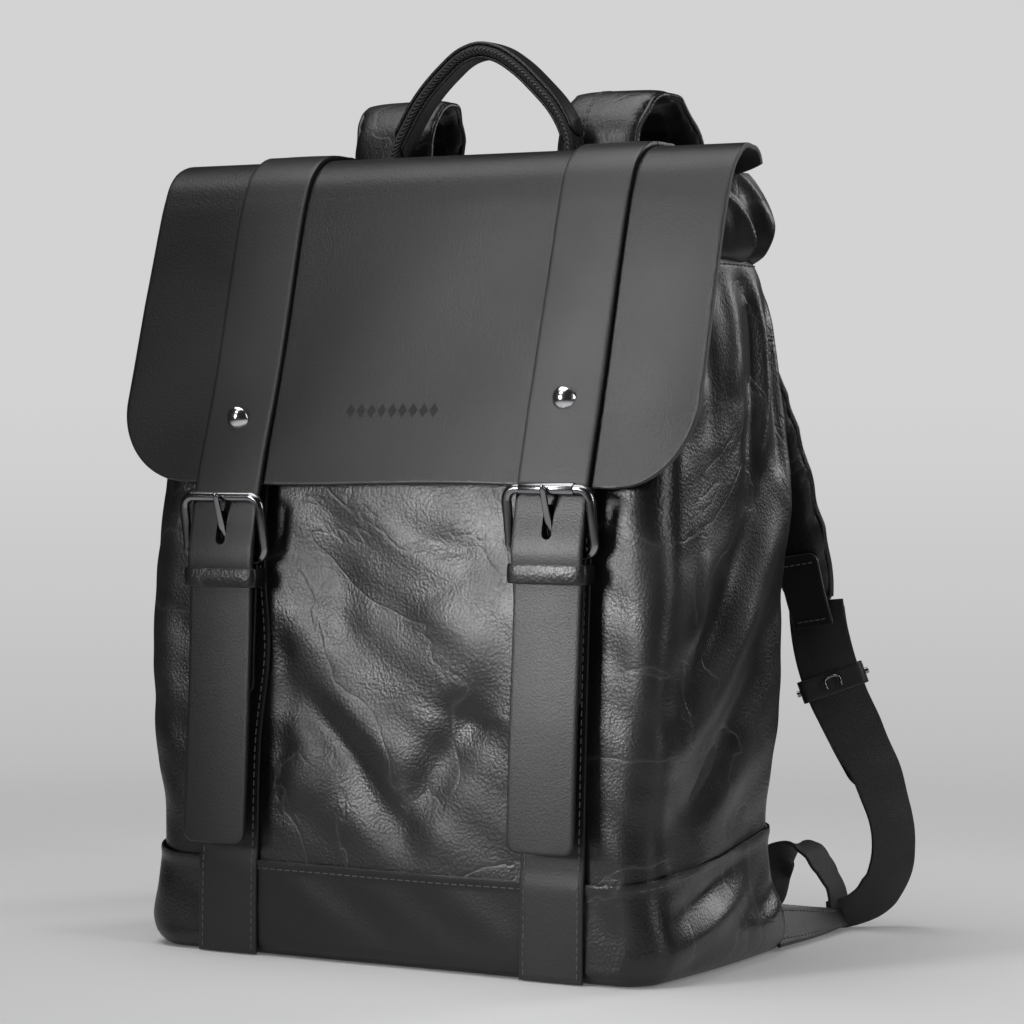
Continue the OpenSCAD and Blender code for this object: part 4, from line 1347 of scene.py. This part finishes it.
# foot tabs and the slack loops behind them
footTab = {
    "path": [[146, 64, 13.5], [148.5, 108, 10], [147, 150, 7.0]],
    "slack": [[146, 151, 6], [145, 150, 14], [142, 147, 26], [138, 144, 36], [132, 141, 43.5],
              [125, 139, 46], [117, 136, 42], [112, 133, 33], [110, 126, 22], [110, 108, 14], [110, 84, 13]],
    "slackSides": [[0, 1, 0], [0, 1, 0], [0, 1, 0], [0, 0.97, -0.2], [0, 0.93, -0.35], [0, 0.93, -0.35],
                   [0.1, 0.95, -0.25], [0.4, 0.9, 0], [0.8, 0.6, 0], [1, 0.1, 0], [1, 0, 0]],
}
for side, hand in (("left", -1), ("right", 1)):
    slackCurve = smoothed(footTab["slack"])

    def slackPoint(u, v):
        at, across, face = bandFrame(slackCurve, footTab["slackSides"], v)
        narrow = 0.8 + 0.2 * held(v / 0.1)
        return at + across * ((0.5 - u) * 26 * narrow)[:, None] + face * (0.4 * np.sin(v * 30))[:, None]

    slack = laySheet("slackLoop_" + side, 12, 130, slackPoint, hand, (2.6, runLength(slackCurve)[-1] / 10),
                     (webbingCloth,))
    thicken(slack, 1.7, 0, bevel=0.35)
    belong(slack, "bag", "webbing", "slack_loop_" + side)
    tabPath = smoothed(footTab["path"])

    def footPoint(u, v):
        at, across, face = bandFrame(tabPath, [[-0.4, 0, 0.9], [-0.4, 0, 0.9]], v)
        half = 12.3 - 7.5 * v
        return at + across * ((0.5 - u) * 2 * half)[:, None]

    foot = laySheet("footTab_" + side, 12, 40, footPoint, hand, (2.4, 6), cutStrap)
    thicken(foot, 2.4, 0, rim=1, bevel=0.4)
    belong(foot, "bag", "strap_leather", "bottom_tab_" + side)
    for number, u in enumerate((0.16, 0.84)):
        v = np.linspace(0.06, 0.9, 30)
        points = footPoint(np.full(30, u), v) + np.array([1.25, 0, 0.5])
        points[:, 0] *= hand
        row = sewRow("stitchFoot%d_%s" % (number, side), points, np.tile([hand, 0, 0.4], (30, 1)), pitch=3.8,
                     length=2.7)
        belong(row, "bag", "strap_leather")
print("stage: foot tabs and slack loops are in")

# back pads
backPad = {"x": 66, "half": 42, "low": 70, "high": 296}


def backPadHalf(v):
    return backPad["half"] * (1 - 0.04 * held(np.abs(v - 0.5) * 2)**6)


backLineCurve = np.array([[backPad["x"], np.interp(z, backCurve[:, 1], backCurve[:, 0]) + 3.4, z]
                          for z in np.linspace(backPad["low"] + 2, backPad["high"] - 2, 40)])
backCushion = layTube("backPad_right", backLineCurve, padSides, backPadHalf, 2.6, 60, 90, 4.5, 1,
                      (meshCloth,))
puff(backCushion, 3.0)
for side, obj in (("right", backCushion), ("left", mirrored(backCushion, "backPad_left"))):
    belong(obj, "bag", "mesh_fabric")
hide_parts("back_pads")
for side, hand in (("left", -1), ("right", 1)):
    # a leather frame round each pad
    ring = []
    for turn in np.linspace(0, 2 * math.pi, 90, endpoint=False):
        ca, sa = math.cos(turn), math.sin(turn)
        x = backPad["x"] + np.sign(ca) * abs(ca)**0.25 * 45.2
        z = 183 + np.sign(sa) * abs(sa)**0.25 * 114
        ring.append([x, float(np.interp(z, backCurve[:, 1], backCurve[:, 0])) + 1.0, z])
    ring.append(ring[0])
    border = layTube("backPadPiping_" + side, np.array(ring), [[0, 1, 0], [0, 1, 0]], 2.8, 2.6, 12, 360,
                     2.0, hand, (padLeather,))
    belong(border, "bag", "pad_leather")
print("stage: the back is padded")

# inside: divider, pocket and zip
def softBox(name, corner, size, round, material, slot, *nodes):
    bpy.ops.mesh.primitive_cube_add(size=1, location=[(a + b / 2) * mm for a, b in zip(corner, size)])
    obj = bpy.context.object
    obj.scale = [b * mm for b in size]
    settle(obj, name, material)
    modify(obj, "BEVEL", width=round * mm, segments=3)
    with editing(obj):
        bpy.ops.mesh.subdivide(number_cuts=1)
        bpy.ops.uv.cube_project(cube_size=0.1)
    smooth(obj, 40)
    belong(obj, "bag", slot, *nodes)
    return obj


divider = softBox("laptopDivider", (-136, 46, 6), (272, 5, 285), 2.2, liningCloth, "lining",
                  "laptop_divider")
softBox("dividerStrap", (-14, 51.4, 280), (28, 14, 1.6), 0.5, strapLeather, "strap_leather", "divider_strap")


def pocketPoint(u, v):
    x = (1 - 2 * u) * 91
    bulge = 3.0 * np.sin(u * math.pi) * np.sin(v * math.pi * 0.5)
    return np.stack([x, 41.5 - bulge, 200 - v * 131], -1)


pocket = laySheet("slipPocket", 40, 30, pocketPoint, 1, (18, 13), (liningCloth,))
thicken(pocket, 1.4, 0, bevel=0.3)
belong(pocket, "bag", "lining", "slip_pocket")
for name, y, z in (("zipTapeFront", -24.5, 390), ("zipTapeBack", 5.0, 396)):
    def tapePoint(u, v, y=y, z=z):
        x = (1 - 2 * u) * 136
        return np.stack([x, y + 0.5 * np.sin(x * 0.06), z + 6 - v * 12], -1)

    tape = laySheet(name, 90, 6, tapePoint, 1, (27, 1.2), (liningCloth,))
    thicken(tape, 0.9, 0)
    belong(tape, "bag", "lining")
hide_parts("zip_tapes")
for node, material in (("zip_teeth", zipMetal), ("zip_slider", zipMetal), ("zip_puller", zipMetal),
                       ("snap_sockets", gunmetal),
                       ("snap_studs", gunmetal), ("base_stiffener", board)):
    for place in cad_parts[node].material_slots:
        place.material = material
print("stage: the inside is finished")
